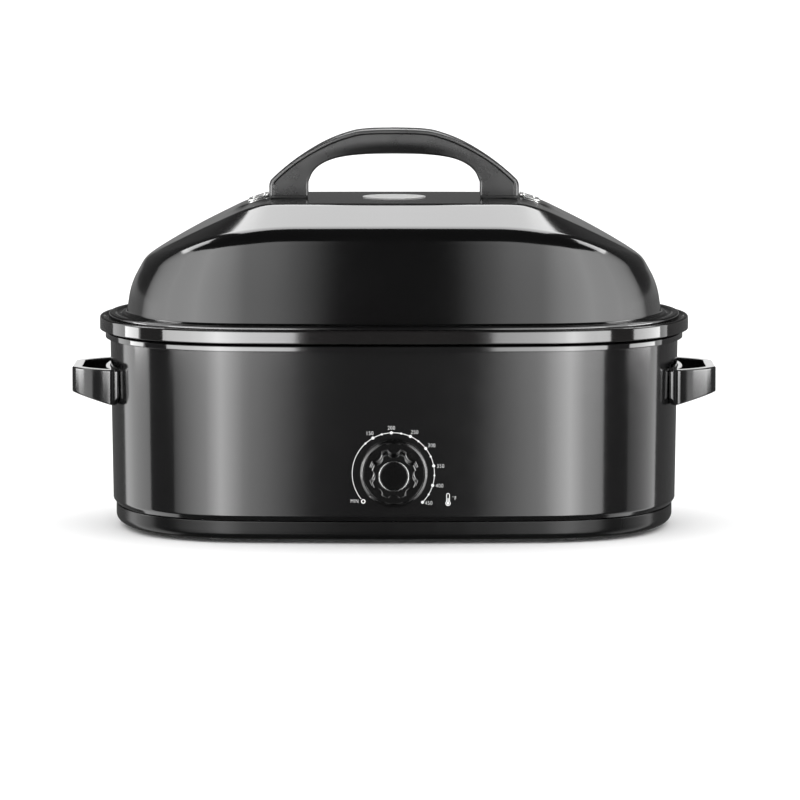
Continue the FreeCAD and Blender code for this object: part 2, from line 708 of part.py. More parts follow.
b = new_body("side_handle_screws")
for side, sx in (("Left", -1), ("Right", 1)):
    s = sketch(b, side + "Heads", "YZ_Plane", 240.8 * sx)
    for sy in (-1, 1):
        circle(s, D("lug_y") * sy, D("lug_z"), 3.6)
    pad(b, s, 2.2, rev=(sx > 0), name=side + "Head")
    s = sketch(b, side + "Shanks", "YZ_Plane", 240.8 * sx)
    for sy in (-1, 1):
        circle(s, D("lug_y") * sy, D("lug_z"), 2.0)
    pad(b, s, 11.5, rev=(sx < 0), name=side + "Shank")

# --------------------------------------------------------------------- pan
mouth, lowo, psk, pfl, pc = (D("pan_mouth_off"), D("pan_low_off"), D("pan_skin"),
                             D("pan_floor_z"), D("pan_corner"))
rim, rz, bz, ro = D("rim_off"), D("rim_z"), D("bead_z"), D("rest_z")
b = ring("pan", [
    (-70.0, pfl), (lowo, pfl, pc), (mouth, rz, 4.0), (6.0, rz, 1.2), (8.4, bz, 1.2),
    (rim, bz, 2.6), (rim, D("band_foot_z")), (rim - psk, D("band_foot_z")),
    (rim - psk, bz - psk, 1.4), (8.9, bz - psk, 0.8), (6.5, ro, 1.2),
    (mouth + psk, ro, 2.8), (lowo + psk, pfl - psk, pc + psk), (-70.0, pfl - psk)])
oval_plate(b, -69.0, pfl - psk, psk)

# -------------------------------------------------------------------- rack
rx, ry, rzz, rw, gw = (D("rack_x"), D("rack_y"), D("rack_z"), D("rack_wire"),
                       D("rung_wire"))
b = new_body("rack_frame")
path = sketch(b, "Border", "XY_Plane", rzz)
outline(path, [(rx, q(0)), (rx, ry, 30.0), (-rx, ry, 30.0), (-rx, -ry, 30.0), (rx, -ry, 30.0)])
s = sketch(b, "BorderWire", "XZ_Plane")
circle(s, rx, rzz, rw)
pipe(b, s, path, name="BorderSweep")
rung_z = rzz - rw - gw + 0.3
s = sketch(b, "Rungs", "YZ_Plane")
for i in range(-4, 6):
    circle(s, D("rung_pitch") * (i - 0.5), rung_z, gw)
pad(b, s, (rx + 1.2) * 2, mid=True, name="Rung")
s = sketch(b, "Bars", "XZ_Plane")
for sx in (-1, 1):
    circle(s, 84.0 * sx, rung_z - gw - gw + 0.3, gw)
pad(b, s, 186.0, mid=True, name="Bar")
s = sketch(b, "Legs", "XY_Plane", pfl)
for sx in (-1, 1):
    for sy in (-1, 1):
        circle(s, 120.0 * sx, 90.0 * sy, 1.8)
pad(b, s, rung_z - pfl, name="Leg")

lw, ll, lf, lh = D("loop_wire"), D("loop_len"), D("loop_foot"), D("loop_head")
for label, sx in (("rack_loop_left", -1), ("rack_loop_right", 1)):
    b = new_body(label, False)
    rot = Rotation(Vector(0, 1, 0), VALUES["loop_lean"] * sx) * Rotation(Vector(0, 0, 1), 90)
    place(b, rx * sx, 0.0, rzz, rot)
    path = sketch(b, "LoopPath", "XZ_Plane")
    outline(path, [(-lf, q(4.2)), (-lf, q(22.0), 18.0), (-lh, ll, 9.0), (lh, ll, 9.0),
                   (lf, q(22.0), 18.0), (lf, q(4.2))], closed=False)
    s = sketch(b, "LoopWire", "XY_Plane", 4.2)
    circle(s, -lf, 0.0, lw)
    pipe(b, s, path, name="LoopSweep")
    s = sketch(b, "Eyes", "XZ_Plane")
    circle(s, -lf, lw + rw + 0.5, lw)
    circle(s, lf, lw + rw + 0.5, lw)
    turn(b, s, "H_Axis", name="Eye")

# --------------------------------------------------------------------- lid
lz, lsk = D("lid_z"), D("lid_skin")
b = new_body("lid_shell")


def dome_section(tag, i, skin):
    lev = D("dome%d_level" % i)
    s = sketch(b, "%s%d" % (tag, i), "XY_Plane", lz + lev - skin)
    oval(s, q(-1.0) * skin if isinstance(skin, Q) else 0.0, D("dome%d_half_a" % i),
         D("dome%d_half_b" % i), D("dome%d_ra" % i), D("dome%d_rb" % i),
         D("dome%d_rc" % i))
    return s


loft(b, [dome_section("Dome", i, 0.0) for i in range(len(DOME))], name="DomeLoft")
loft(b, [dome_section("Inside", i, lsk) for i in range(len(DOME))], cut=True, name="DomeInside")
s = sketch(b, "FlangeSpine")
oval(s)
path = s
s = sketch(b, "FlangeSection", "XZ_Plane")
a, fo, ff = D("oval_a"), D("lid_flange_off"), D("lid_foot_off")
outline(s, [(a + ff - lsk, lz - lsk), (a + ff + 4.5, lz - lsk), (a + ff + 6.0, lz - lsk - 1.2),
            (a + ff + 8.0, lz - lsk - 1.2), (a + ff + 9.5, lz - lsk), (a + fo - lsk, lz - lsk),
            (a + fo - lsk, lz - D("lid_hem")), (a + fo, lz - D("lid_hem")), (a + fo, lz, 2.0),
            (a + ff + 9.9, lz), (a + ff + 8.4, lz - 1.2), (a + ff + 5.6, lz - 1.2),
            (a + ff + 4.1, lz), (a + ff - lsk, lz)])
pipe(b, s, path, name="Flange")
top = lz + 101.0
lx = D("leg_x")
s = sketch(b, "HandleHoles", "XY_Plane", top + 1)
circle(s, lx, 0.0, 2.4)
circle(s, -lx, 0.0, 2.4)
pocket(b, s, 6.0, name="HandleHole")
vx, vy = D("vent_x"), D("vent_y")
s = sketch(b, "VentSlots", "XY_Plane", top + 1)
for sx in (-1, 1):
    for k in range(3):
        y = vy - 14.0 + 14.0 * k
        outline(s, [(vx * sx - 5.0, y - 2.2), (vx * sx + 5.0, y - 2.2),
                    (vx * sx + 5.0, y + 2.2), (vx * sx - 5.0, y + 2.2)])
pocket(b, s, 14.0, name="VentSlot")

ht, hh, hd, leg, gs = (D("handle_top"), D("handle_half"), D("handle_depth"),
                       D("handle_leg"), D("gasket_skin"))
b = new_body("lid_handle")
s = sketch(b, "Arch", "XZ_Plane")
outline(s, [
    (-hh, top + gs), (-hh, top + 18.0, 7.0), (q(-57.0), top + ht, 62.0),
    (q(57.0), top + ht, 62.0), (hh, top + 18.0, 7.0), (hh, top + gs), (hh - leg, top + gs),
    (hh - leg, top + 41.0, 24.0), (leg - hh, top + 41.0, 24.0), (leg - hh, top + gs)])
pad(b, s, hd, mid=True, name="ArchPad")
half_d = VALUES["handle_depth"] / 2


def long_edge(e):
    bb = e.BoundBox
    return (abs(bb.YMax - bb.YMin) < 1e-5
            and abs(abs(bb.YMin) - half_d) < 1e-3
            and bb.ZMax > top.v + gs.v + 0.01)


soften(b, [7.0, 5.0, 3.0, 1.5], long_edge, name="ArchRound")
s = sketch(b, "ScrewBores", "XY_Plane", top + gs)
circle(s, lx, 0.0, 2.0)
circle(s, -lx, 0.0, 2.0)
pocket(b, s, 16.0, rev=True, name="ScrewBore")

b = new_body("lid_handle_gaskets")
s = sketch(b, "Pads", "XY_Plane", top)
for sx in (-1, 1):
    outline(s, [(lx * sx - leg / 2 + 0.8, q(-15.2), 4.0), (lx * sx + leg / 2 - 0.8, q(-15.2), 4.0),
                (lx * sx + leg / 2 - 0.8, q(15.2), 4.0), (lx * sx - leg / 2 + 0.8, q(15.2), 4.0)])
    circle(s, lx * sx, 0.0, 2.4)
pad(b, s, gs, name="Pad")

b = new_body("lid_washers")
s = sketch(b, "Rings", "XY_Plane", top - lsk - 1.0)
for sx in (-1, 1):
    circle(s, lx * sx, 0.0, 8.0)
    circle(s, lx * sx, 0.0, 2.2)
pad(b, s, 1.0, name="Washer")

b = new_body("lid_handle_screws")
s = sketch(b, "Heads", "XY_Plane", top - lsk - 4.0)
for sx in (-1, 1):
    circle(s, lx * sx, 0.0, 4.5)
pad(b, s, 3.0, name="Head")
s = sketch(b, "Shanks", "XY_Plane", top - lsk - 1.0)
for sx in (-1, 1):
    circle(s, lx * sx, 0.0, 2.0)
pad(b, s, 17.0, name="Shank")
s = sketch(b, "Recess", "XY_Plane", top - lsk - 4.0)
for sx in (-1, 1):
    outline(s, [(lx * sx - 2.6, q(-0.6)), (lx * sx + 2.6, q(-0.6)),
                (lx * sx + 2.6, q(0.6)), (lx * sx - 2.6, q(0.6))])
pocket(b, s, 1.4, rev=True, name="Slot")

b = new_body("lid_badge_plate")
s = sketch(b, "Disc", "XY_Plane", top)
circle(s, 0.0, 8.0, D("badge_rad"))
pad(b, s, 0.8, name="Disc")

# perforated steam vents on the slope beside the handle
b = new_body("lid_vents")
for tag, sx in (("Left", -1), ("Right", 1)):
    s = sketch(b, tag + "Plate", "XZ_Plane", -(vy - 24.0))
    outline(s, [(112.5 * sx, top + 0.35), (131.0 * sx, top - 5.65), (131.3 * sx, top - 4.75),
                (112.8 * sx, top + 1.25)])
    pad(b, s, 48.0, rev=True, name=tag + "VentPlate")
s = sketch(b, "Holes", "XY_Plane", top + 4)
for sx in (-1, 1):
    for k in range(3):
        circle(s, vx * sx, vy - 14.0 + 14.0 * k, 1.9)
pocket(b, s, 14.0, name="VentHoles")

# ------------------------------------------------------------ check, export
doc.recompute()
failed = []
for o in doc.Objects:
    if "Invalid" in o.State or "Error" in o.State:
        failed.append("%s %s" % (o.Name, o.State))
for o in doc.Objects:
    if o.TypeId == "Sketcher::SketchObject" and o.solve() != 0:
        failed.append("%s does not solve" % o.Name)
for b in parts:
    if b.Shape.isNull() or not b.Shape.isValid():
        failed.append(b.Label + " has no valid shape")
if failed:
    raise RuntimeError("; ".join(failed))
names = [b.Label for b in parts]
assert len(names) == len(set(names)) and len(names) <= 60
box = FreeCAD.BoundBox()
for b in parts:
    b.Shape.exportStep("parts/%s.step" % b.Label)
    bb = b.Shape.BoundBox
    box.add(bb)
    print("%-22s %2d solids %9.0f mm3  x %7.1f %7.1f  y %7.1f %7.1f  z %6.1f %6.1f" % (
        b.Label, len(b.Shape.Solids), b.Shape.Volume, bb.XMin, bb.XMax, bb.YMin, bb.YMax,
        bb.ZMin, bb.ZMax))
print("all", box)
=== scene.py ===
import math

import bmesh
import bpy
from mathutils import Matrix, Vector


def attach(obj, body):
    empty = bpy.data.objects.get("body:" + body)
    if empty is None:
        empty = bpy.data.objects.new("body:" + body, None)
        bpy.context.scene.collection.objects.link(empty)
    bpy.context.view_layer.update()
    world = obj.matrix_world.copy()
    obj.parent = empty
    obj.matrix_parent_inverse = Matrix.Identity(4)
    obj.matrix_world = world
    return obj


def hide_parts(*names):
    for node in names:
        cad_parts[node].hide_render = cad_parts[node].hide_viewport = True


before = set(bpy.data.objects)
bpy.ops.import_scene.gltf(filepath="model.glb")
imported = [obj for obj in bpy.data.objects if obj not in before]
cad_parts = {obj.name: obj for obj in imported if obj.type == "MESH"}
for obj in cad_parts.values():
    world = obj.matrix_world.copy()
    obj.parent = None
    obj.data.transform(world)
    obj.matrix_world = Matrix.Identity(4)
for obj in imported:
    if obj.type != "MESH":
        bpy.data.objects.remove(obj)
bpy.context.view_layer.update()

# Lengths in this file are millimetres in the frame of the casing's oval, whose
# centre lies YS behind the frame's origin; z is counted from LIFT above the floor.
# place() turns them into metres.
YS = 8.075
LIFT = 5.0
MM = 0.001
SCENE = bpy.context.scene


def place(p):
    return Vector((p[0] * MM, (p[1] + YS) * MM, (p[2] + LIFT) * MM))


# ---------------------------------------------------------------- mesh tools
def mesh_object(name, verts, faces, sharp=40.0, merge=0.0, mats=None, index=None):
    """an object from points in millimetres; faces turned outward, smooth shaded"""
    me = bpy.data.meshes.new(name)
    me.from_pydata([place(v) for v in verts], [], faces)
    if index:
        me.polygons.foreach_set("material_index", index)
    bm = bmesh.new()
    bm.from_mesh(me)
    if merge:
        bmesh.ops.remove_doubles(bm, verts=bm.verts, dist=merge * MM)
    bmesh.ops.dissolve_degenerate(bm, edges=bm.edges, dist=1e-7)
    loose = [v for v in bm.verts if not v.link_faces]
    if loose:
        bmesh.ops.delete(bm, geom=loose, context="VERTS")
    bmesh.ops.recalc_face_normals(bm, faces=bm.faces)
    bm.to_mesh(me)
    bm.free()
    finish_shading(me, sharp)
    ob = bpy.data.objects.new(name, me)
    SCENE.collection.objects.link(ob)
    return ob


def finish_shading(me, sharp=40.0):
    me.polygons.foreach_set("use_smooth", [True] * len(me.polygons))
    me.set_sharp_from_angle(angle=math.radians(sharp))
    me.update()


def applied(ob, sharp=40.0):
    """bake the modifiers into the mesh"""
    bpy.context.view_layer.update()
    dg = bpy.context.evaluated_depsgraph_get()
    me = bpy.data.meshes.new_from_object(ob.evaluated_get(dg), depsgraph=dg)
    ob.modifiers.clear()
    ob.data = me
    finish_shading(me, sharp)
    return ob


def cut(ob, cutters, sharp=40.0):
    """take the cutters' volume out of ob"""
    for c in cutters:
        m = ob.modifiers.new("cut", "BOOLEAN")
        m.operation = "DIFFERENCE"
        m.solver = "EXACT"
        m.object = c
    applied(ob, sharp)
    for c in cutters:
        me = c.data
        bpy.data.objects.remove(c)
        bpy.data.meshes.remove(me)
    return ob


def joined(name, obs):
    """one object out of several; faces keep their material index, the material slots are not copied"""
    bm = bmesh.new()
    for o in obs:
        bm.from_mesh(o.data)
    me = bpy.data.meshes.new(name)
    bm.to_mesh(me)
    bm.free()
    for o in obs:
        old = o.data
        bpy.data.objects.remove(o)
        bpy.data.meshes.remove(old)
    me.update()
    ob = bpy.data.objects.new(name, me)
    SCENE.collection.objects.link(ob)
    return ob


def bez(a, p, b, u):
    return tuple((1 - u) ** 2 * a[i] + 2 * u * (1 - u) * p[i] + u * u * b[i]
                 for i in range(len(p)))


def softened(pts, closed=True, seg=6, least=0.18, guard=0.5):
    """corner points with a last number, the length that its rounding takes on each
    side, become a smooth loop; support points keep the flats flat"""
    n = len(pts)
    P = [tuple(p[:-1]) for p in pts]
    T = [max(p[-1], least) for p in pts]
    dist = [math.dist(P[i], P[(i + 1) % n]) for i in range(n)]
    out = []
    for i in range(n):
        if not closed and i in (0, n - 1):
            out.append(P[i])
            continue
        lin, lout = dist[i - 1], dist[i]
        t = min(T[i], 0.47 * lin, 0.47 * lout)
        a = tuple(P[i][k] + (P[i - 1][k] - P[i][k]) * t / max(lin, 1e-9) for k in range(len(P[i])))
        q = P[(i + 1) % n]
        b = tuple(P[i][k] + (q[k] - P[i][k]) * t / max(lout, 1e-9) for k in range(len(P[i])))
        g = min(guard, 0.2 * (lin - t)) if lin > 0 else 0
        h = min(guard, 0.2 * (lout - t)) if lout > 0 else 0
        ga = tuple(a[k] + (P[i - 1][k] - P[i][k]) * g / max(lin, 1e-9) for k in range(len(a)))
        hb = tuple(b[k] + (q[k] - P[i][k]) * h / max(lout, 1e-9) for k in range(len(a)))
        m = seg if T[i] > 1.0 else max(3, seg // 2)
        out.append(ga)
        out += [bez(a, P[i], b, j / m) for j in range(m + 1)]
        out.append(hb)
    return out


def arc_corner(pts, closed=True, seg=8, least=0.18, guard=0.6):
    """2-D corners (x, z, radius) rounded by true arcs, with support points"""
    n = len(pts)
    res = []
    for i, p in enumerate(pts):
        r = p[2] if len(p) > 2 else 0.0
        if not closed and i in (0, n - 1):
            res.append((p[0], p[1]))
            continue
        a, b = pts[i - 1], pts[(i + 1) % n]
        ax, az, bx, bz = a[0] - p[0], a[1] - p[1], b[0] - p[0], b[1] - p[1]
        la, lb = math.hypot(ax, az), math.hypot(bx, bz)
        ax, az, bx, bz = ax / la, az / la, bx / lb, bz / lb
        full = math.acos(max(-1, min(1, ax * bx + az * bz)))
        if full > math.pi - 1e-3:
            res.append((p[0], p[1]))
            continue
        r = max(r, least)
        t = min(r / math.tan(full / 2), 0.47 * la, 0.47 * lb)
        r = t * math.tan(full / 2)
        mx, mz = ax + bx, az + bz
        lm = math.hypot(mx, mz)
        cx, cz = p[0] + mx / lm * r / math.sin(full / 2), p[1] + mz / lm * r / math.sin(full / 2)
        s = (p[0] + ax * t, p[1] + az * t)
        e = (p[0] + bx * t, p[1] + bz * t)
        a0 = math.atan2(s[1] - cz, s[0] - cx)
        a1 = math.atan2(e[1] - cz, e[0] - cx)
        d = (a1 - a0 + math.pi) % (2 * math.pi) - math.pi
        ga, gb = min(guard, 0.2 * (la - t)), min(guard, 0.2 * (lb - t))
        res.append((s[0] + ax * ga, s[1] + az * ga))
        m = seg if r > 1.0 else max(3, seg // 2)
        res += [(cx + r * math.cos(a0 + d * k / m), cz + r * math.sin(a0 + d * k / m))
                for k in range(m + 1)]
        res.append((e[0] + bx * gb, e[1] + bz * gb))
    return res


# --------------------------------------------------------- the casing's oval
HALF_A, HALF_B = 250.0, 176.0
R1, R2, R3 = 1500.0, 120.0, 250.0        # front, corner and end radius
C1Y, C3 = HALF_B - R1, HALF_A - R3
_y = ((R1 - R2) ** 2 - (R3 - R2) ** 2 - C1Y ** 2) / (-2 * C1Y)
C2 = (math.sqrt((R3 - R2) ** 2 - _y ** 2), _y)
A12, A23 = math.atan2(C2[1] - C1Y, C2[0]), math.atan2(C2[1], C2[0] - C3)


def oval_columns(n_end=44, n_corner=28, n_front=40):
    """(centre x, centre y, radius, angle) once round, from the +x end"""
    pi = math.pi
    spec = [(C3, 0, R3, 0, A23, n_end // 2), (C2[0], C2[1], R2, A23, A12, n_corner),
            (0, C1Y, R1, A12, pi - A12, n_front), (-C2[0], C2[1], R2, pi - A12, pi - A23, n_corner),
            (-C3, 0, R3, pi - A23, pi + A23, n_end), (-C2[0], -C2[1], R2, pi + A23, pi + A12, n_corner),
            (0, -C1Y, R1, pi + A12, 2 * pi - A12, n_front),
            (C2[0], -C2[1], R2, 2 * pi - A12, 2 * pi - A23, n_corner),
            (C3, 0, R3, 2 * pi - A23, 2 * pi, n_end // 2)]
    cols = []
    for cx, cy, r, a0, a1, n in spec:
        cols += [(cx, cy, r, a0 + (a1 - a0) * k / n) for k in range(n)]
    return cols


def on_oval(col, d):
    cx, cy, r, a = col
    return cx + (r + d) * math.cos(a), cy + (r + d) * math.sin(a)


COLS = oval_columns()


def swept_ring(name, profile, seg=8, floor=None, **kw):
    """a closed section (offset, z, radius) carried round the oval; floor closes the
    two innermost corners, given as positions of the section's first and last point"""
    prof = arc_corner(profile, closed=floor is None, seg=seg)
    n, m = len(COLS), len(prof)
    verts = []
    for col in COLS:
        for d, z in prof:
            x, y = on_oval(col, d)
            verts.append((x, y, z))
    faces = []
    last = m if floor is None else m - 1
    for i in range(n):
        for j in range(last):
            k = (j + 1) % m
            faces.append((i * m + j, ((i + 1) % n) * m + j, ((i + 1) % n) * m + k, i * m + k))
    if floor is not None:
        for j in (0, m - 1):
            z = prof[j][1]
            prev = [i * m + j for i in range(n)]
            edge = [verts[p] for p in prev]
            for s in (0.8, 0.55, 0.3):
                base = len(verts)
                verts += [(p[0] * s, p[1] * s, z) for p in edge]
                cur = list(range(base, base + n))
                faces += [(prev[i], prev[(i + 1) % n], cur[(i + 1) % n], cur[i]) for i in range(n)]
                prev = cur
            faces.append(tuple(prev))
    return mesh_object(name, verts, faces, **kw)


def tube(path, r, closed=False, sides=14, caps=True):
    """(verts, faces) of a round wire along a smooth path of points"""
    n = len(path)
    P = [Vector(p) for p in path]
    tan = []
    for i in range(n):
        a = P[i - 1] if (i or closed) else P[i]
        b = P[(i + 1) % n] if (i < n - 1 or closed) else P[i]
        tan.append((b - a).normalized())
    ref = Vector((0, 0, 1)) if abs(tan[0].z) < 0.9 else Vector((1, 0, 0))
    u = (ref - tan[0] * ref.dot(tan[0])).normalized()
    verts, rings = [], []
    for i in range(n):
        if i:
            u = (u - tan[i] * u.dot(tan[i])).normalized()
        v = tan[i].cross(u)
        rings.append(len(verts))
        verts += [tuple(P[i] + (u * math.cos(2 * math.pi * k / sides)
                                + v * math.sin(2 * math.pi * k / sides)) * r)
                  for k in range(sides)]
    faces = []
    for i in range(n if closed else n - 1):
        a, b = rings[i], rings[(i + 1) % n]
        faces += [(a + k, a + (k + 1) % sides, b + (k + 1) % sides, b + k) for k in range(sides)]
    if caps and not closed:
        for i, sign in ((0, -1), (n - 1, 1)):
            base = len(verts)
            verts += [tuple(Vector(verts[rings[i] + k]).lerp(P[i], 0.35) + tan[i] * sign * r * 0.3)
                      for k in range(sides)]
            faces += [(rings[i] + k, rings[i] + (k + 1) % sides, base + (k + 1) % sides, base + k)
                      for k in range(sides)]
            faces.append(tuple(range(base, base + sides)))
    return verts, faces


def even(raw, n, dims):
    length = [0.0]
    for a, b in zip(raw, raw[1:]):
        length.append(length[-1] + math.dist(a, b))
    out, j = [], 0
    for k in range(n + 1):
        s = length[-1] * k / n
        while j < len(raw) - 2 and length[j + 1] < s:
            j += 1
        f = (s - length[j]) / max(length[j + 1] - length[j], 1e-9)
        out.append(tuple(raw[j][i] + (raw[j + 1][i] - raw[j][i]) * f for i in range(dims)))
    return out


def gathered(parts):
    verts, faces = [], []
    for v, f in parts:
        o = len(verts)
        verts += v
        faces += [tuple(i + o for i in g) for g in f]
    return verts, faces


def bend_path(pts, seg=10):
    """3-D corners (x, y, z, radius) as a path with true arcs"""
    out = []
    n = len(pts)
    for i, p in enumerate(pts):
        c = Vector(p[:3])
        r = p[3] if len(p) > 3 else 0
        if i in (0, n - 1) or r <= 0:
            out.append(tuple(c))
            continue
        a = (Vector(pts[i - 1][:3]) - c).normalized()
        b = (Vector(pts[(i + 1) % n][:3]) - c).normalized()
        full = a.angle(b)
        t = r / math.tan(full / 2)
        mid = c + (a + b).normalized() * (r / math.sin(full / 2))
        s, e = c + a * t - mid, c + b * t - mid
        w = s.angle(e)
        out += [tuple(mid + (s * math.sin(w * (1 - k / seg)) + e * math.sin(w * k / seg)) / math.sin(w))
                for k in range(seg + 1)]
    return out


def loft(loops, cap=True):
    """(verts, faces) through closed loops with the same number of points"""
    m = len(loops[0])
    verts = [tuple(p) for loop in loops for p in loop]
    faces = []
    for i in range(len(loops) - 1):
        for j in range(m):
            k = (j + 1) % m
            faces.append((i * m + j, i * m + k, (i + 1) * m + k, (i + 1) * m + j))
    if cap:
        faces.append(tuple(range(m)))
        faces.append(tuple((len(loops) - 1) * m + j for j in range(m)))
    return verts, faces


def spin(profile, frame_of, n=64, closed=True):
    """(verts, faces) of a section (r, w) turned about the axis of frame_of(r, angle, w)"""
    m = len(profile)
    verts = [frame_of(r, 2 * math.pi * i / n, w) for i in range(n) for r, w in profile]
    faces = []
    for i in range(n):
        for j in range(m if closed else m - 1):
            k = (j + 1) % m
            faces.append((i * m + j, ((i + 1) % n) * m + j, ((i + 1) % n) * m + k, i * m + k))
    return verts, faces


def cutter(name, verts, faces):
    return mesh_object(name, verts, faces)


def prism(name, pts_lo, pts_hi):
    m = len(pts_lo)
    verts = list(pts_lo) + list(pts_hi)
    faces = [tuple(range(m)), tuple(range(m, 2 * m))]
    faces += [(j, (j + 1) % m, m + (j + 1) % m, m + j) for j in range(m)]
    return cutter(name, verts, faces)


# ------------------------------------------------------------------- shading
class Tree:
    def __init__(self, name):
        self.mat = bpy.data.materials.new(name)
        self.mat.use_nodes = True
        self.nt = self.mat.node_tree
        self.nt.nodes.clear()
        self.out = self.nt.nodes.new("ShaderNodeOutputMaterial")
        self.bsdf = self.nt.nodes.new("ShaderNodeBsdfPrincipled")
        self.nt.links.new(self.bsdf.outputs[0], self.out.inputs["Surface"])
        self.tc = self.nt.nodes.new("ShaderNodeTexCoord")

    def add(self, kind, **props):
        n = self.nt.nodes.new(kind)
        for k, v in props.items():
            setattr(n, k, v)
        return n

    def link(self, a, b):
        self.nt.links.new(a, b)

    def coords(self, scale=(1, 1, 1), rot=(0, 0, 0)):
        m = self.add("ShaderNodeMapping")
        m.inputs["Scale"].default_value = scale
        m.inputs["Rotation"].default_value = rot
        self.link(self.tc.outputs["Object"], m.inputs["Vector"])
        return m.outputs[0]

    def noise(self, scale, detail=2.0, rough=0.5, vec=None):
        n = self.add("ShaderNodeTexNoise")
        n.inputs["Scale"].default_value = scale
        n.inputs["Detail"].default_value = detail
        n.inputs["Roughness"].default_value = rough
        self.link(vec if vec is not None else self.tc.outputs["Object"], n.inputs["Vector"])
        return n.outputs["Fac"]

    def span(self, value, lo, hi, a=0.3, b=0.7):
        n = self.add("ShaderNodeMapRange")
        n.inputs["From Min"].default_value = a
        n.inputs["From Max"].default_value = b
        n.inputs["To Min"].default_value = lo
        n.inputs["To Max"].default_value = hi
        self.link(value, n.inputs["Value"])
        return n.outputs[0]

    def math(self, op, a, b):
        n = self.add("ShaderNodeMath", operation=op)
        for i, v in enumerate((a, b)):
            if isinstance(v, (int, float)):
                n.inputs[i].default_value = v
            else:
                self.link(v, n.inputs[i])
        return n.outputs[0]

    def mix(self, fac, a, b):
        n = self.add("ShaderNodeMix", data_type="RGBA")
        self.link(fac, n.inputs[0])
        for sock, v in ((n.inputs[6], a), (n.inputs[7], b)):
            if isinstance(v, tuple):
                sock.default_value = (v[0], v[1], v[2], 1)
            else:
                self.link(v, sock)
        return n.outputs[2]

    def bump(self, height, strength, distance, normal=None):
        n = self.add("ShaderNodeBump")
        n.inputs["Strength"].default_value = strength
        n.inputs["Distance"].default_value = distance
        self.link(height, n.inputs["Height"])
        if normal is not None:
            self.link(normal, n.inputs["Normal"])
        return n.outputs[0]

    def worn(self, lo=0.52, hi=0.6):
        g = self.add("ShaderNodeNewGeometry")
        return self.span(g.outputs["Pointiness"], 0.0, 1.0, lo, hi)

    def put(self, **kw):
        names = {"color": "Base Color", "rough": "Roughness", "metal": "Metallic",
                 "spec": "Specular IOR Level", "coat": "Coat Weight", "coat_rough": "Coat Roughness",
                 "aniso": "Anisotropic", "normal": "Normal", "sheen": "Sheen Weight", "ior": "IOR"}
        for k, v in kw.items():
            sock = self.bsdf.inputs[names[k]]
            if isinstance(v, tuple):
                sock.default_value = (v[0], v[1], v[2], 1)
            elif isinstance(v, (int, float)):
                sock.default_value = v
            else:
                self.link(v, sock)


def enamel(name, dark, light, rough, spec, peel=650.0, peel_depth=0.05, fleck=None, wear=0.0):
    """fired gloss enamel: orange peel, cloudy gloss, faint dust and specks"""
    t = Tree(name)
    cloud = t.noise(9.0, 4.0, 0.55)
    col = t.mix(t.span(cloud, 0.0, 1.0), dark, light)
    if fleck:
        v = t.add("ShaderNodeTexVoronoi")
        v.inputs["Scale"].default_value = fleck[0]
        t.link(t.tc.outputs["Object"], v.inputs["Vector"])
        dots = t.span(v.outputs["Distance"], 1.0, 0.0, 0.03, 0.12)
        pick = t.span(t.noise(fleck[0] * 0.37, 1.0), 0.0, 1.0, 0.5, 0.62)
        col = t.mix(t.math("MULTIPLY", dots, pick), col, fleck[1])
    if wear:
        edge = t.math("MULTIPLY", t.worn(), t.span(t.noise(160.0, 3.0), 0.0, wear, 0.4, 0.6))
        col = t.mix(edge, col, (light[0] * 4 + 0.02,) * 3)
    haze = t.math("MULTIPLY", t.span(t.noise(4.0, 5.0, 0.6), 0.0, 1.0, 0.35, 0.75),
                  t.span(t.noise(70.0, 4.0, 0.65), 0.0, 1.0, 0.3, 0.8))
    rough_tex = t.span(haze, rough[0], rough[1], 0.0, 1.0)
    fine = t.noise(peel, 2.0, 0.5)
    slow = t.noise(55.0, 2.0, 0.5)
    normal = t.bump(fine, peel_depth, 0.00008)
    normal = t.bump(slow, peel_depth * 0.5, 0.0003, normal)
    t.put(color=col, rough=rough_tex, spec=spec, normal=normal)
    return t.mat


def moulded(name, dark, light, rough, spec, grain=1500.0, depth=0.08, wear=0.35):
    """moulded phenolic or nylon: fine grain, soft edges rubbed a little lighter"""
    t = Tree(name)
    col = t.mix(t.span(t.noise(30.0, 3.0), 0.0, 1.0), dark, light)
    edge = t.math("MULTIPLY", t.worn(0.53, 0.64), t.span(t.noise(220.0, 3.0), 0.1, wear, 0.35, 0.65))
    col = t.mix(edge, col, (light[0] * 3 + 0.03,) * 3)
    rough_tex = t.span(t.noise(45.0, 5.0, 0.6), rough[0], rough[1], 0.3, 0.72)
    normal = t.bump(t.noise(grain, 2.0), depth, 0.00006)
    normal = t.bump(t.noise(90.0, 2.0), depth * 0.6, 0.00025, normal)
    t.put(color=col, rough=rough_tex, spec=spec, normal=normal)
    return t.mat


def metal(name, dark, light, rough, scale=(1, 1, 1), grain=500.0, depth=0.05, aniso=0.0, rot=(0, 0, 0)):
    """plated or brushed metal: directional lines where scale stretches the grain"""
    t = Tree(name)
    vec = t.coords(scale, rot)
    line = t.noise(grain, 4.0, 0.6, vec)
    stain = t.noise(22.0, 4.0, 0.6)
    col = t.mix(t.span(stain, 0.0, 1.0), dark, light)
    rough_tex = t.span(t.math("ADD", t.math("MULTIPLY", line, 0.6), t.math("MULTIPLY", stain, 0.4)),
                       rough[0], rough[1], 0.35, 0.65)
    t.put(color=col, rough=rough_tex, metal=1.0, normal=t.bump(line, depth, 0.00005))
    if aniso:
        t.put(aniso=aniso)
    return t.mat


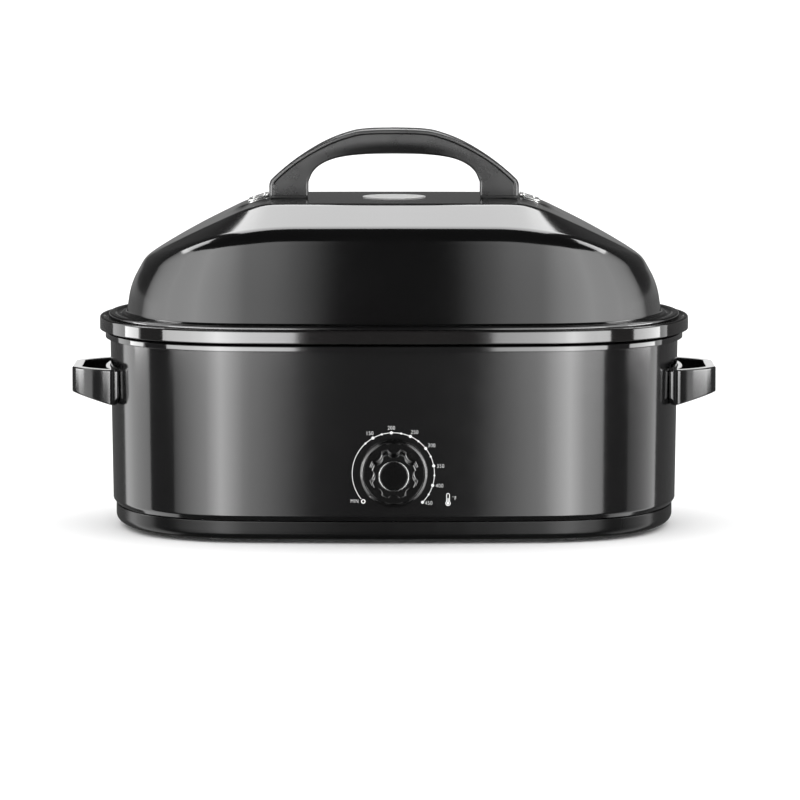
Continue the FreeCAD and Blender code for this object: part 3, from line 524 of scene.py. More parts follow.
def soft_matte(name, dark, light, rough, grain=800.0, depth=0.3, weave=None, spec=0.3):
    t = Tree(name)
    col = t.mix(t.span(t.noise(60.0, 5.0, 0.6), 0.0, 1.0), dark, light)
    fine = t.noise(grain, 4.0, 0.6)
    height = fine
    if weave:
        w = t.add("ShaderNodeTexWave")
        w.inputs["Scale"].default_value = weave
        w.inputs["Distortion"].default_value = 1.5
        t.link(t.tc.outputs["Object"], w.inputs["Vector"])
        height = t.math("ADD", fine, w.outputs["Fac"])
    t.put(color=col, rough=t.span(fine, rough[0], rough[1]), spec=spec,
          normal=t.bump(height, depth, 0.0002))
    return t.mat


M = {}
M["casing"] = enamel("enamel_casing", (0.0042, 0.0042, 0.0044), (0.0062, 0.0061, 0.0062),
                     (0.10, 0.15), 0.50, peel=420.0, peel_depth=0.04)
M["rim"] = enamel("enamel_rim", (0.0042, 0.0042, 0.0044), (0.0060, 0.0060, 0.0062), (0.06, 0.10), 0.50,
                  peel=380.0, peel_depth=0.04, wear=0.15)
M["lid"] = enamel("enamel_lid", (0.0016, 0.0016, 0.0017), (0.0028, 0.0028, 0.0029), (0.10, 0.15), 0.50,
                  peel=380.0, peel_depth=0.03)
M["pan"] = enamel("enamel_pan", (0.0045, 0.0043, 0.0043), (0.0085, 0.0080, 0.0078), (0.06, 0.10), 0.50,
                  peel=380.0, peel_depth=0.04, fleck=(900.0, (0.16, 0.155, 0.15)))
M["base"] = enamel("enamel_base", (0.0042, 0.0042, 0.0042), (0.0060, 0.0060, 0.0060), (0.20, 0.26), 0.13,
                   peel=520.0, peel_depth=0.05, wear=0.15)
M["handle"] = moulded("phenolic_gloss", (0.0045, 0.0045, 0.0047), (0.0065, 0.0065, 0.0067),
                      (0.08, 0.13), 0.50, depth=0.05, wear=0.25)
M["arch"] = moulded("phenolic_satin", (0.0065, 0.0065, 0.0067), (0.0095, 0.0095, 0.0096),
                    (0.25, 0.31), 0.70, grain=1100.0, depth=0.06, wear=0.3)
M["knob"] = moulded("knob_black", (0.0011, 0.0011, 0.0011), (0.0020, 0.0020, 0.0020),
                    (0.05, 0.09), 0.75, grain=1600.0, depth=0.03, wear=0.3)
M["cap"] = moulded("cap_black", (0.0016, 0.0016, 0.0016), (0.0026, 0.0026, 0.0026),
                   (0.10, 0.16), 0.30, grain=1800.0, depth=0.05, wear=0.08)
M["chrome"] = metal("wire_chrome", (0.62, 0.62, 0.63), (0.80, 0.80, 0.81), (0.07, 0.16), grain=300.0)
M["inner"] = metal("aluminised_sheet", (0.50, 0.50, 0.50), (0.66, 0.66, 0.65), (0.26, 0.42),
                   scale=(1, 1, 9), grain=160.0, depth=0.12)
M["zinc"] = metal("zinc_plate", (0.48, 0.49, 0.51), (0.62, 0.62, 0.62), (0.28, 0.45), grain=240.0, depth=0.1)
M["badge"] = soft_matte("badge_silver", (0.60, 0.60, 0.60), (0.68, 0.68, 0.675), (0.30, 0.42), grain=900.0,
                        depth=0.08, spec=0.4)
M["vent"] = metal("vent_bright", (0.74, 0.74, 0.73), (0.90, 0.90, 0.89), (0.20, 0.34), grain=420.0, depth=0.5)
M["ring"] = moulded("ring_polished", (0.020, 0.020, 0.020), (0.030, 0.030, 0.030), (0.10, 0.18), 1.0,
                    grain=900.0, depth=0.02, wear=0.1)
M["ring"].node_tree.nodes["Principled BSDF"].inputs["IOR"].default_value = 1.95
M["heater"] = soft_matte("mica_band", (0.30, 0.22, 0.12), (0.52, 0.43, 0.28), (0.5, 0.8), weave=220.0)
M["blanket"] = soft_matte("glass_fibre", (0.70, 0.68, 0.60), (0.88, 0.86, 0.80), (0.8, 0.95), weave=120.0, depth=0.7)
M["lead"] = soft_matte("lead_rubber", (0.022, 0.022, 0.022), (0.034, 0.034, 0.034), (0.45, 0.62))
M["gland"] = moulded("gland_nylon", (0.018, 0.018, 0.018), (0.026, 0.026, 0.026), (0.38, 0.52), 0.45,
                     grain=900.0, depth=0.25)
M["foot"] = soft_matte("foot_rubber", (0.012, 0.012, 0.012), (0.020, 0.020, 0.019), (0.55, 0.75), depth=0.25)
M["gasket"] = soft_matte("gasket_matte", (0.008, 0.008, 0.008), (0.013, 0.013, 0.013), (0.42, 0.6), depth=0.2)
M["ceramic"] = soft_matte("control_ceramic", (0.52, 0.49, 0.42), (0.66, 0.64, 0.58), (0.5, 0.7), depth=0.3)
t = Tree("dial_print_white")
t.put(color=t.mix(t.span(t.noise(260.0, 4.0), 0.0, 1.0), (0.84, 0.84, 0.84), (0.90, 0.90, 0.895)),
      rough=t.span(t.noise(600.0, 3.0), 0.32, 0.5), spec=0.4,
      normal=t.bump(t.noise(1400.0, 2.0), 0.12, 0.00005))
M["print"] = t.mat


def dress(ob, key, extra=()):
    slots = [p.material_index for p in ob.data.polygons] if extra else None
    ob.data.materials.clear()
    ob.data.materials.append(M[key])
    for k in extra:
        ob.data.materials.append(M[k])
    if slots:
        ob.data.polygons.foreach_set("material_index", slots)
        ob.data.update()


def piece(ob, key, body, nodes=(), extra=()):
    dress(ob, key, extra)
    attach(ob, body)
    if nodes:
        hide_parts(*nodes)
    return ob


# -------------------------------------------------------------------- casing
def shell_offset(z):
    """the casing's outer offset at a level of its drafted wall"""
    return -1.35 + (z - 19.6) * 4.05 / 145.4


def disc_prism(name, axis, centre, r, half, n=40):
    pts = []
    for w in (-half, half):
        ring = []
        for k in range(n):
            a = 2 * math.pi * k / n
            u, v = r * math.cos(a), r * math.sin(a)
            if axis == "y":
                ring.append((centre[0] + u, centre[1] + w, centre[2] + v))
            elif axis == "x":
                ring.append((centre[0] + w, centre[1] + u, centre[2] + v))
            else:
                ring.append((centre[0] + u, centre[1] + v, centre[2] + w))
        pts.append(ring)
    return prism(name, pts[0], pts[1])


def with_levels(profile, levels_out, levels_in):
    """the shell's section with extra corners on its two long walls"""
    top_out, low_out = profile[0], profile[1]
    low_in, top_in = profile[-2], profile[-1]

    def on(a, b, z):
        f = (z - a[1]) / (b[1] - a[1])
        return (a[0] + (b[0] - a[0]) * f, z, 0.0)

    return ([top_out] + [on(top_out, low_out, z) for z in levels_out] + profile[1:-1]
            + [on(low_in, top_in, z) for z in levels_in] + [top_in])


shell = swept_ring("casing_shell", with_levels([
    (2.7, 165.0), (-1.35, 19.6, 3.6), (-4.6, 15.2, 0.8), (-9.0, 15.2), (-9.0, 16.0),
    (-5.0, 16.0, 0.6), (-2.15, 19.86, 2.8), (1.9, 165.0)],
    (132.0, 111.0, 72.0, 55.0, 47.0, 36.0), (36.0, 47.0, 55.0, 72.0, 111.0, 132.0)), seg=10)


def fuller(ob, low, high, z_low, z_high):
    """widen along x by low mm a side at z_low, running to high at z_high"""
    for v in ob.data.vertices:
        z = v.co.z / MM - LIFT
        f = min(1.0, max(0.0, (z - z_low) / (z_high - z_low)))
        v.co.x *= 1 + (low + (high - low) * f) / HALF_A
    ob.data.update()


fuller(shell, 1.9, 0.1, 20.0, 163.0)
cuts = [disc_prism("c0", "y", (0, -176, 57.8), 4.6, 14),
        disc_prism("c1", "y", (0, 176, 45.0), 7.2, 14)]
for sx in (-1, 1):
    for sy in (-1, 1):
        cuts.append(disc_prism("c2", "x", (241.0 * sx, 63.0 * sy, 122.0), 2.5, 12))
cut(shell, cuts)
piece(shell, "casing", "housing", ["outer_shell"])

collar = swept_ring("rim_collar", [
    (7.0, 163.0, 0.3), (7.0, 168.6, 1.5), (-0.8, 168.6, 0.8), (-0.8, 179.0), (-3.0, 179.0),
    (-3.0, 165.7), (3.2, 165.7), (3.2, 163.0)])
piece(collar, "rim", "housing", ["top_collar"])

tray = swept_ring("base_ring", [
    (-4.0, 14.85, 0.7), (-4.0, -1.6, 12.0), (-48.0, -1.6, 0.4), (-48.0, 0.0, 0.3),
    (-5.6, 0.0, 10.4), (-5.6, 14.85, 0.3)], seg=12)
fuller(tray, 1.9, 1.9, 0.0, 20.0)
cut(tray, [disc_prism("f", "z", (154.5 * sx, 131.0 * sy, -0.8), 3.0, 4)
           for sx in (-1, 1) for sy in (-1, 1)])
piece(tray, "base", "housing", ["base_tray"])

well = swept_ring("heat_well_liner", [
    (-60.0, 25.0), (-17.7, 25.0, 12.0), (-17.7, 165.7, 1.2), (2.7, 165.7, 0.3), (2.7, 165.0, 0.3),
    (-17.0, 165.0, 0.6), (-17.0, 24.3, 12.8), (-60.0, 24.3)], floor=True)
piece(well, "inner", "housing", ["heat_well"])


def z_spin(cx, cy, profile, n=48):
    return spin(profile, lambda r, a, w: (cx + r * math.cos(a), cy + r * math.sin(a), w), n)


foot_sec = arc_corner([(0.6, -4.65, 0.2), (3.8, -4.65, 0.2), (4.1, -5.0, 0.15), (5.05, -5.0, 0.5), (5.35, -3.6, 0.4),
                       (5.0, -1.6, 0.3), (2.9, -1.6, 0.2), (2.9, 0.0, 0.2), (4.2, 0.0, 0.3),
                       (4.0, 0.8, 0.3), (2.2, 1.8, 0.5), (0.6, 1.8, 0.3)], seg=5)
feet = mesh_object("feet_pads", *gathered([z_spin(154.5 * sx, 131.0 * sy, foot_sec)
                                           for sx in (-1, 1) for sy in (-1, 1)]))
piece(feet, "foot", "housing", ["rubber_feet"])


def back_frame(r, a, w):
    return (r * math.cos(a), 175.2 + w, 45.0 + r * math.sin(a))


gland_sec = arc_corner([(4.0, -6.0, 0.3), (6.9, -6.0, 0.3), (6.9, 0.5, 0.2), (10.0, 0.5, 0.5), (10.0, 3.4, 1.0),
                        (8.4, 4.6, 0.6), (8.0, 4.9, 0.3), (7.9, 5.4, 0.2), (8.1, 5.7, 0.2), (7.6, 6.6, 0.7),
                        (4.5, 6.6, 0.5), (4.0, 6.1, 0.4)], seg=6)
gland = mesh_object("cord_gland_bush", *spin(gland_sec, back_frame, 72))
piece(gland, "gland", "housing", ["cord_gland"])

# ------------------------------------------------------------- side handles
def underside(x):
    return 106.6 + max(0.0, x - 248.0) * 11.4 / 46.0


for side, sx in (("left", -1), ("right", 1)):
    bow = [bez((250.6, -72.0), (276.8, -55.5), (285.5, -34.0), k / 24) for k in range(25)]
    half_out = even(softened([(245.6, -67.6, 0), (250.6, -72.0, 0.5), bow[1] + (0.4,)], closed=False, seg=8,
                             guard=0.01)[:-1] + bow[1:-1]
                    + [bez(bow[-2], (285.5, -34.0), (285.5, -31.0), k / 6) for k in range(1, 7)]
                    + [(285.5, 0.0)], 60, 2)
    half_in = even([(248.4, -60.6), (250.2, -60.9)] + [bez((251.4, -61.0), (270.2, -48.5), (276.9, -31.0), k / 24) for k in range(25)]
                   + [(276.9, 0.0)], 60, 2)
    outer = half_out + [(x, -y) for x, y in reversed(half_out[:-1])]
    inner = half_in + [(x, -y) for x, y in reversed(half_in[:-1])]
    loops = []
    for (xo, yo), (xi, yi) in zip(outer, inner):
        quad = [(xi, yi, underside(xi), 1.4), (xo, yo, underside(xo), 1.1),
                (xo, yo, 138.0, 1.5), (xi, yi, 138.0, 1.6)]
        loops.append([(p[0] * sx, p[1], p[2]) for p in softened(quad, seg=8, guard=0.7)])
    bar = loft(loops)
    # the moulded plate between the loop and the casing, its lower corners cut off
    r0, r1, top, low = 253.1, 257.0, 137.4, 107.2
    steps, a_end = 64, 74.0 / 257.0
    loops = []
    for k in range(-3, steps + 4):
        kk = min(max(k, 0), steps)
        over = max(-k, k - steps, 0)
        inset = (0.0, 0.12, 0.5, 1.15)[over]
        round_off = (0.0, 0.45, 1.6, 3.2)[over]
        push = (0.0, 1.6, 2.75, 3.2)[over]
        a = (-a_end + 3.2 / r1) + 2 * (a_end - 3.2 / r1) * kk / steps
        a += math.copysign(push / r1, k - steps / 2) if over else 0.0
        near = r1 * (a_end - abs(a))
        foot = low + max(0.0, 5.2 - near)
        sec = softened([(r0, foot + inset, 0.3), (r1 - round_off, foot + inset, 1.1),
                        (r1 - round_off, top - inset, 1.1), (r0, top - inset, 0.3)], seg=5, guard=0.6)
        loops.append([((C3 + r * math.cos(a)) * sx, r * math.sin(a), z) for r, z in sec])
    ob = mesh_object("side_grip_" + side, *gathered([bar, loft(loops)]))
    piece(ob, "handle", "housing", ["side_handle_" + side])

# ----------------------------------------------------------------------- pan
pan = swept_ring("roasting_pan", [
    (-70.0, 34.2), (-38.0, 34.2, 24.0), (-28.0, 180.0, 4.0), (6.0, 180.0, 1.2), (8.4, 182.0, 1.2),
    (12.0, 182.0, 2.6), (12.0, 170.5, 0.35), (11.0, 170.5, 0.35), (11.0, 181.0, 1.4),
    (8.9, 181.0, 0.8), (6.5, 179.0, 1.2), (-27.0, 179.0, 2.8), (-37.0, 33.2, 25.0),
    (-70.0, 33.2)], seg=12, floor=True)
piece(pan, "pan", "pan", ["pan"])

# ---------------------------------------------------------------------- rack
RX, RY, RZ = 171.5, 112.0, 50.0
border = bend_path([(RX, 0, RZ), (RX, RY, RZ, 30), (-RX, RY, RZ, 30), (-RX, -RY, RZ, 30),
                    (RX, -RY, RZ, 30), (RX, -0.01, RZ)], 14)[:-1]
parts = [tube(border, 1.5, closed=True, sides=16)]
for i in range(-4, 6):
    y = 20.0 * (i - 0.5)
    parts.append(tube([(-RX - 0.9, y, 47.6), (-60, y, 47.6), (60, y, 47.6), (RX + 0.9, y, 47.6)], 1.2))
for sx in (-1, 1):
    parts.append(tube([(84.0 * sx, -92.7, 45.5), (84.0 * sx, 0, 45.5), (84.0 * sx, 92.7, 45.5)], 1.2))
    for sy in (-1, 1):
        parts.append(tube([(120.0 * sx, 90.0 * sy, 34.75), (120.0 * sx, 90.0 * sy, 40),
                           (120.0 * sx, 90.0 * sy, 47.6)], 1.8))
rack = mesh_object("roasting_rack", *gathered(parts))
piece(rack, "chrome", "rack", ["rack_frame"])

for side, sx in (("left", -1), ("right", 1)):
    ca, sa = math.cos(math.radians(20)), math.sin(math.radians(20))

    def lean(u, v, w=0.0):
        return ((RX + v * sa + w * ca) * sx, u, RZ + v * ca - w * sa)

    flat = bend_path([(-40, 0, 4.2), (-40, 0, 22, 18), (-20, 0, 155, 9), (20, 0, 155, 9),
                      (40, 0, 22, 18), (40, 0, 4.2)], 12)
    path = [lean(p[0], p[2]) for p in flat]
    eyes = []
    for u in (-40.0, 40.0):
        ring = [(lean(u, 3.4 * math.sin(2 * math.pi * k / 28), 3.4 * math.cos(2 * math.pi * k / 28)))
                for k in range(28)]
        eyes.append(tube(ring, 1.4, closed=True, sides=14))
    ob = mesh_object("rack_bail_" + side, *gathered([tube(path, 1.4, sides=16)] + eyes))
    piece(ob, "chrome", "loop_" + side, ["rack_loop_" + side])

# ----------------------------------------------------------------------- lid
LZ = 185.0
END_PROFILE = [(0, 101.0), (88, 101.0), (103, 100.7), (111, 100.2), (131, 95.0), (148, 87.4), (173, 75.4),
               (199, 61.8), (212, 54.6), (224, 47.5)]


def smooth_curve(knots):
    """monotone cubic through the knots"""
    xs, ys = [k[0] for k in knots], [k[1] for k in knots]
    n = len(xs)
    d = [(ys[i + 1] - ys[i]) / (xs[i + 1] - xs[i]) for i in range(n - 1)]
    m = [d[0]] + [0.0 if d[i - 1] * d[i] <= 0 else 2 * d[i - 1] * d[i] / (d[i - 1] + d[i])
                  for i in range(1, n - 1)] + [d[-1]]

    def f(x):
        if x <= xs[0]:
            return ys[0]
        for i in range(n - 1):
            if x <= xs[i + 1] or i == n - 2:
                h = xs[i + 1] - xs[i]
                u = (x - xs[i]) / h
                return (ys[i] * (1 + 2 * u) * (1 - u) ** 2 + m[i] * h * u * (1 - u) ** 2
                        + ys[i + 1] * u * u * (3 - 2 * u) + m[i + 1] * h * u * u * (u - 1))
    return f


roof = smooth_curve(END_PROFILE)
brow = smooth_curve([(0, 80.5), (90, 80.0), (130, 77.0), (160, 71.5), (185, 63.5), (207, 54.5), (222, 48.0)])


def crease_value(x, y):
    return (abs(x) / 212.0) ** 2.9 + (abs(y) / 93.0) ** 2


def lid_mesh():
    cols = oval_columns(56, 40, 72)
    n = len(cols)
    table = []
    for col in cols:
        fx, fy = on_oval(col, -12.0)
        nx, ny = math.cos(col[3]), math.sin(col[3])
        lo, hi = 0.0, 170.0
        reach = (col[2] - 12.0)
        hi = min(hi, reach)
        for _ in range(40):
            mid = (lo + hi) / 2
            if crease_value(fx - nx * mid, fy - ny * mid) > 1:
                lo = mid
            else:
                hi = mid
        s_c = (lo + hi) / 2
        cx, cy = fx - nx * s_c, fy - ny * s_c
        endness = min(1.0, max(0.0, (abs(fx) - 110.0) / 128.0)) ** 1.6
        s_s = 13.6 + 3.0 * endness
        sxp, syp = fx - nx * s_s, fy - ny * s_s
        z_c, z_s = roof(abs(cx)), min(brow(abs(sxp)), roof(abs(sxp)) + 0.0 if abs(sxp) > 205 else 1e9)
        bow = 0.8 + 2.4 * endness
        # section in (distance inward from the foot, height)
        inner = s_c + 12.0
        ix, iy = fx - nx * inner, fy - ny * inner
        sec = [(inner, roof(abs(ix)), 0.0), (s_c, z_c, 5.5), (s_s, z_s, 11.0),
               (s_s * 0.42 - bow, z_s * 0.52, 22.0), (0.0, 0.0, 2.4)]
        flange = [(-4.1, 0.0, 0.9), (-5.6, -1.2, 0.8), (-8.4, -1.2, 0.8), (-9.9, 0.0, 0.9),
                  (-16.0, 0.0, 1.9), (-16.0, -5.0, 0.0)]
        loop = softened([(a, b, c) for a, b, c in sec + flange], closed=False, seg=8, guard=1.2)
        table.append((fx, fy, nx, ny, loop))
    m = len(table[0][4])
    verts = []
    for fx, fy, nx, ny, loop in table:
        for s, z in loop:
            verts.append((fx - nx * s, fy - ny * s, LZ + z))
    faces = []
    for i in range(n):
        k = (i + 1) % n
        for j in range(m - 1):
            faces.append((i * m + j, i * m + j + 1, k * m + j + 1, k * m + j))
    # the roof inside the crease runs in to a spine along x
    prev = [i * m for i in range(n)]
    start = [verts[p] for p in prev]
    for f in (0.14, 0.3, 0.48, 0.66, 0.84, 1.0):
        base = len(verts)
        for p in start:
            qx = p[0] * 0.66
            x, y = p[0] + (qx - p[0]) * f, p[1] * (1 - f)
            verts.append((x, y, LZ + roof(abs(x))))
        cur = list(range(base, base + n))
        faces += [(prev[i], prev[(i + 1) % n], cur[(i + 1) % n], cur[i]) for i in range(n)]
        prev = cur
    return verts, faces


lid = mesh_object("lid_dome", *lid_mesh(), merge=0.02)
up = [p.normal.z for p in lid.data.polygons if p.center.z > 0.285]
if sum(up) < 0:
    lid.data.flip_normals()
sol = lid.modifiers.new("skin", "SOLIDIFY")
sol.thickness = 1.0 * MM
sol.offset = -1.0
sol.use_even_offset = False
applied(lid, 50.0)
cuts = []
for sx in (-1, 1):
    cuts.append(disc_prism("h", "z", (93.5 * sx, 0, 286), 2.4, 3))
    for k in range(3):
        y = 38.0 + 14.0 * k
        cuts.append(disc_prism("v", "z", (123.0 * sx, y, 282), 3.0, 8, 28))
cut(lid, cuts, 50.0)
piece(lid, "lid", "lid", ["lid_shell"])


# arch handle on the lid
over = smooth_curve([(0, 348.0), (16, 347.75), (30.4, 346.7), (46.2, 342.6), (58.0, 337.9), (68.7, 332.4),
                     (80.0, 325.5), (91.3, 317.5), (102.6, 308.2), (112.0, 299.3)])
under = smooth_curve([(0, 325.4), (16.9, 325.2), (34.9, 324.2), (48.5, 322.2), (57.5, 319.6), (66.5, 314.8),
                      (72.5, 308.6), (76.0, 300.6)])
xs_o = [109.0 * (1 - k / 90) for k in range(91)]
half_o = even([(111.0, 288.5), (111.0, 297.0)]
              + [bez((111.0, 297.0), (111.0, 300.2), (109.0, over(109.0)), k / 10) for k in range(1, 10)]
              + [(x, over(x)) for x in xs_o], 90, 2)
xs_i = [76.0 * math.cos(math.pi / 2 * k / 90) for k in range(91)]
half_i = even([(76.2, 288.5), (76.2, 299.0)] + [(x, under(x)) for x in xs_i], 90, 2)
outer = half_o + [(-x, z) for x, z in reversed(half_o[:-1])]
inner = half_i + [(-x, z) for x, z in reversed(half_i[:-1])]
loops = []
for (xo, zo), (xi, zi) in zip(outer, inner):
    e = Vector((xo - xi, 0, zo - zi)).normalized()
    d = 16.0 - 4.2 * ((xo + xi) / 222.0) ** 2
    # the face is crowned where the arch runs level, and a step parts it from the bead on top
    crown = 0.5 + 3.6 * max(0.0, e.z) ** 2
    mx, mz = xi + (xo - xi) * 0.42, zi + (zo - zi) * 0.42
    pts = [(xi, -d + 1.3 + crown, zi, 2.2), (mx, -d + 1.5, mz, 4.0), (xo - e.x * 4.9, -d + 1.3, zo - e.z * 4.9, 0.3),
           (xo - e.x * 3.9, -d, zo - e.z * 3.9, 0.4), (xo - e.x * 1.2, -d, zo - e.z * 1.2, 1.5),
           (xo, -d + 4.6, zo, 3.6), (xo, d - 4.6, zo, 3.6), (xo - e.x * 1.2, d, zo - e.z * 1.2, 1.5),
           (xo - e.x * 3.9, d, zo - e.z * 3.9, 0.4), (xo - e.x * 4.9, d - 1.3, zo - e.z * 4.9, 0.3),
           (mx, d - 1.5, mz, 4.0), (xi, d - 1.3 - crown, zi, 2.2)]
    loops.append(softened(pts, seg=7, guard=0.8))
arch = mesh_object("lid_arch_handle", *loft(loops), sharp=50.0)
piece(arch, "arch", "lid", ["lid_handle"])

# a thin foot under each leg
feet_loops = []
pads = []
for sx in (-1, 1):
    def pad_loop(inset, z):
        x0, x1, yy = 93.5 - 16.7 + inset, 93.5 + 16.7 - inset, 12.4 - inset
        ring = []
        for cx, cy, a0 in ((x1 - 4, yy - 4, 0), (x0 + 4, yy - 4, 90), (x0 + 4, -yy + 4, 180), (x1 - 4, -yy + 4, 270)):
            ring += [((cx + 4 * math.cos(math.radians(a0 + 90 * k / 8))) * sx,
                      cy + 4 * math.sin(math.radians(a0 + 90 * k / 8)), z) for k in range(9)]
        return ring
    pads.append(loft([pad_loop(0.1, 286.02), pad_loop(0.0, 286.3), pad_loop(0.0, 288.0),
                      pad_loop(0.5, 288.5)]))
pads = mesh_object("lid_arch_pads", *gathered(pads))
piece(pads, "gasket", "lid", ["lid_handle_gaskets"])

# bare round badge
badge_sec = arc_corner([(0.0, 286.02), (28.0, 286.02, 0.1), (28.0, 286.8, 0.35), (25.6, 286.8, 0.2), (25.2, 286.6, 0.15),
                        (24.4, 286.6, 0.15), (24.0, 286.78, 0.2), (0.0, 286.8)], closed=False, seg=6)
badge = mesh_object("lid_round_badge", *spin(
    badge_sec, lambda r, a, w: (r * math.cos(a), 8.0 + r * math.sin(a), w), 96, closed=False), merge=0.001)
piece(badge, "badge", "lid", ["lid_badge_plate"])

# perforated vents on the slope beside the handle
vents = []
for sx in (-1, 1):
    slope = math.atan2(6.0, 18.5)
    ux, uz = math.cos(slope), -math.sin(slope)
    nx, nz = math.sin(slope), math.cos(slope)

    def vent_loop(inset, h):
        ring = []
        a0, a1, b0, b1, r = 0.3 + inset, 19.2 - inset, 28.3 + inset, 75.7 - inset, 4.5 - inset
        for cx, cy, ang in ((a1 - r, b1 - r, 0), (a0 + r, b1 - r, 90), (a0 + r, b0 + r, 180), (a1 - r, b0 + r, 270)):
            for k in range(9):
                t_ = math.radians(ang + 90 * k / 8)
                u, v = cx + r * math.cos(t_), cy + r * math.sin(t_)
                ring.append(((112.5 + u * ux + h * nx) * sx, v, 286.35 + u * uz + h * nz))
        return ring
    vents.append(loft([vent_loop(0.25, -0.1), vent_loop(0.0, 0.15), vent_loop(0.0, 0.6), vent_loop(0.35, 0.95)]))
vent = mesh_object("lid_vent_plates", *gathered(vents))
cuts, lips = [], []
for sx in (-1, 1):
    for k in range(3):
        for off in (-4.6, 4.6):
            y = 38.0 + 14.0 * k + (3.0 if off > 0 else -3.0)
            cx = 122.0 + off
            zc = 286.35 - (cx - 112.5) * math.tan(slope)
            cuts.append(disc_prism("p", "z", (cx * sx, y, zc), 1.9, 4, 28))
cut(vent, cuts)
piece(vent, "vent", "lid", ["lid_vents"])

# ---------------------------------------------------------------------- dial
KZ, SEAT = 57.8, 175.65


def front_frame(r, a, w):
    """a point of the dial: radius and angle seen from the front, height w off the casing"""
    return (r * math.cos(a), -(SEAT + w), KZ + r * math.sin(a))


def knob_mesh():
    n = 1008
    flat = [(3.0, 1.6, 0.2), (29.4, 1.6, 0.3), (29.4, 6.2, 0.6), (27.0, 7.6, 0.3), (26.5, 6.4, 0.4),
            (21.0, 6.4, 0.7), (20.0, 28.5, 1.0), (13.35, 28.5, 0.15), (13.35, 26.9, 0.15), (3.0, 26.9, 0.2)]
    sec = softened(flat, seg=6, guard=0.4)
    # more rows up the grip
    rows = []
    for i, p in enumerate(sec):
        q = sec[(i + 1) % len(sec)]
        rows.append(p)
        if math.dist(p, q) > 3.5 and 13 < p[0] < 27 and p[1] > 6:
            rows += [(p[0] + (q[0] - p[0]) * k / 8, p[1] + (q[1] - p[1]) * k / 8) for k in range(1, 8)]
        elif math.dist(p, q) > 1.2 and p[0] > 27 and p[1] > 6:
            rows += [(p[0] + (q[0] - p[0]) * k / 6, p[1] + (q[1] - p[1]) * k / 6) for k in range(1, 6)]
    m = len(rows)
    verts = []
    point_at = math.radians(223.1)
    for i in range(n):
        a = 2 * math.pi * i / n
        # eight scooped valleys between rounded lobes
        turn = (a + math.pi / 8) % (math.pi / 4) - math.pi / 8
        side = 22.9 * math.sin(turn)
        scoop = 22.9 * math.cos(turn) - math.sqrt(6.2 ** 2 - side * side) if abs(side) < 6.2 else None
        off = abs((a - point_at + math.pi) % (2 * math.pi) - math.pi)
        for r, w in rows:
            rr, ww = r, w
            if 13.4 < r < 26.2 and w > 6.35:
                lobe = 21.0 - (w - 6.4) / 22.1
                if scoop is None:
                    edge = lobe
                else:
                    edge = min(scoop, lobe) - math.log(1 + math.exp(-3.0 * abs(scoop - lobe))) / 3.0
                if r <= lobe:
                    rr = 13.35 + (r - 13.35) * (edge - 13.35) / (lobe - 13.35)
                else:
                    rr = r - (lobe - edge) * max(0.0, 1 - (r - lobe) / 5.2)
            if 27.1 < r < 29.3 and w > 6.15:
                # ridged bevel, with a smooth notch that points
                share = math.sin(math.pi * min(1, max(0, (29.3 - r) / 2.2)))
                if off < math.radians(3.2):
                    depth = 0.5 * math.cos(off / math.radians(3.2) * math.pi / 2)
                else:
                    depth = 0.10 * (0.5 + 0.5 * math.cos(168 * a))
                rr -= depth * share * 0.45
                ww -= depth * share * 0.8
            verts.append(front_frame(rr, a, ww))
    faces = []
    for i in range(n):
        k = (i + 1) % n
        for j in range(m):
            q = (j + 1) % m
            faces.append((i * m + j, k * m + j, k * m + q, i * m + q))
    return verts, faces


knob = mesh_object("dial_knob", *knob_mesh(), sharp=55.0)
piece(knob, "knob", "dial", ["knob"])

# cap: a shallow dished disc inside a thin bright ring
cap_sec = (softened([(0.0, 27.75, 0), (11.7, 27.95, 0.4), (12.1, 27.6, 0.12), (12.3, 27.6, 0)], closed=False, seg=5,
                    guard=0.15)
           + [(12.73 - 0.42 * math.cos(math.pi * k / 16), 27.75 + 0.42 * math.sin(math.pi * k / 16)) for k in range(17)]
           + [(13.15, 27.3), (13.15, 26.95), (6.0, 26.95), (0.0, 26.95)])
m = len(cap_sec)
verts, faces = spin(cap_sec, front_frame, 144, closed=False)
index = []
for f in faces:
    rr = [cap_sec[v % m] for v in f]
    mid_r = sum(p[0] for p in rr) / 4
    mid_w = sum(p[1] for p in rr) / 4
    index.append(1 if mid_r > 12.3 and mid_w > 27.3 else 0)
cap = mesh_object("dial_cap", verts, faces, index=index)
bm = bmesh.new()
bm.from_mesh(cap.data)
bmesh.ops.remove_doubles(bm, verts=bm.verts, dist=1e-6)
bm.to_mesh(cap.data)
bm.free()
piece(cap, "cap", "dial", ["knob_cap"], extra=("ring",))


# printed scale on the casing
def on_front(x, z, off):
    x, z = x - 0.5, z - 0.5
    d = shell_offset(z) + off
    return (x, -(math.sqrt((R1 + d) ** 2 - x * x) + C1Y), z)


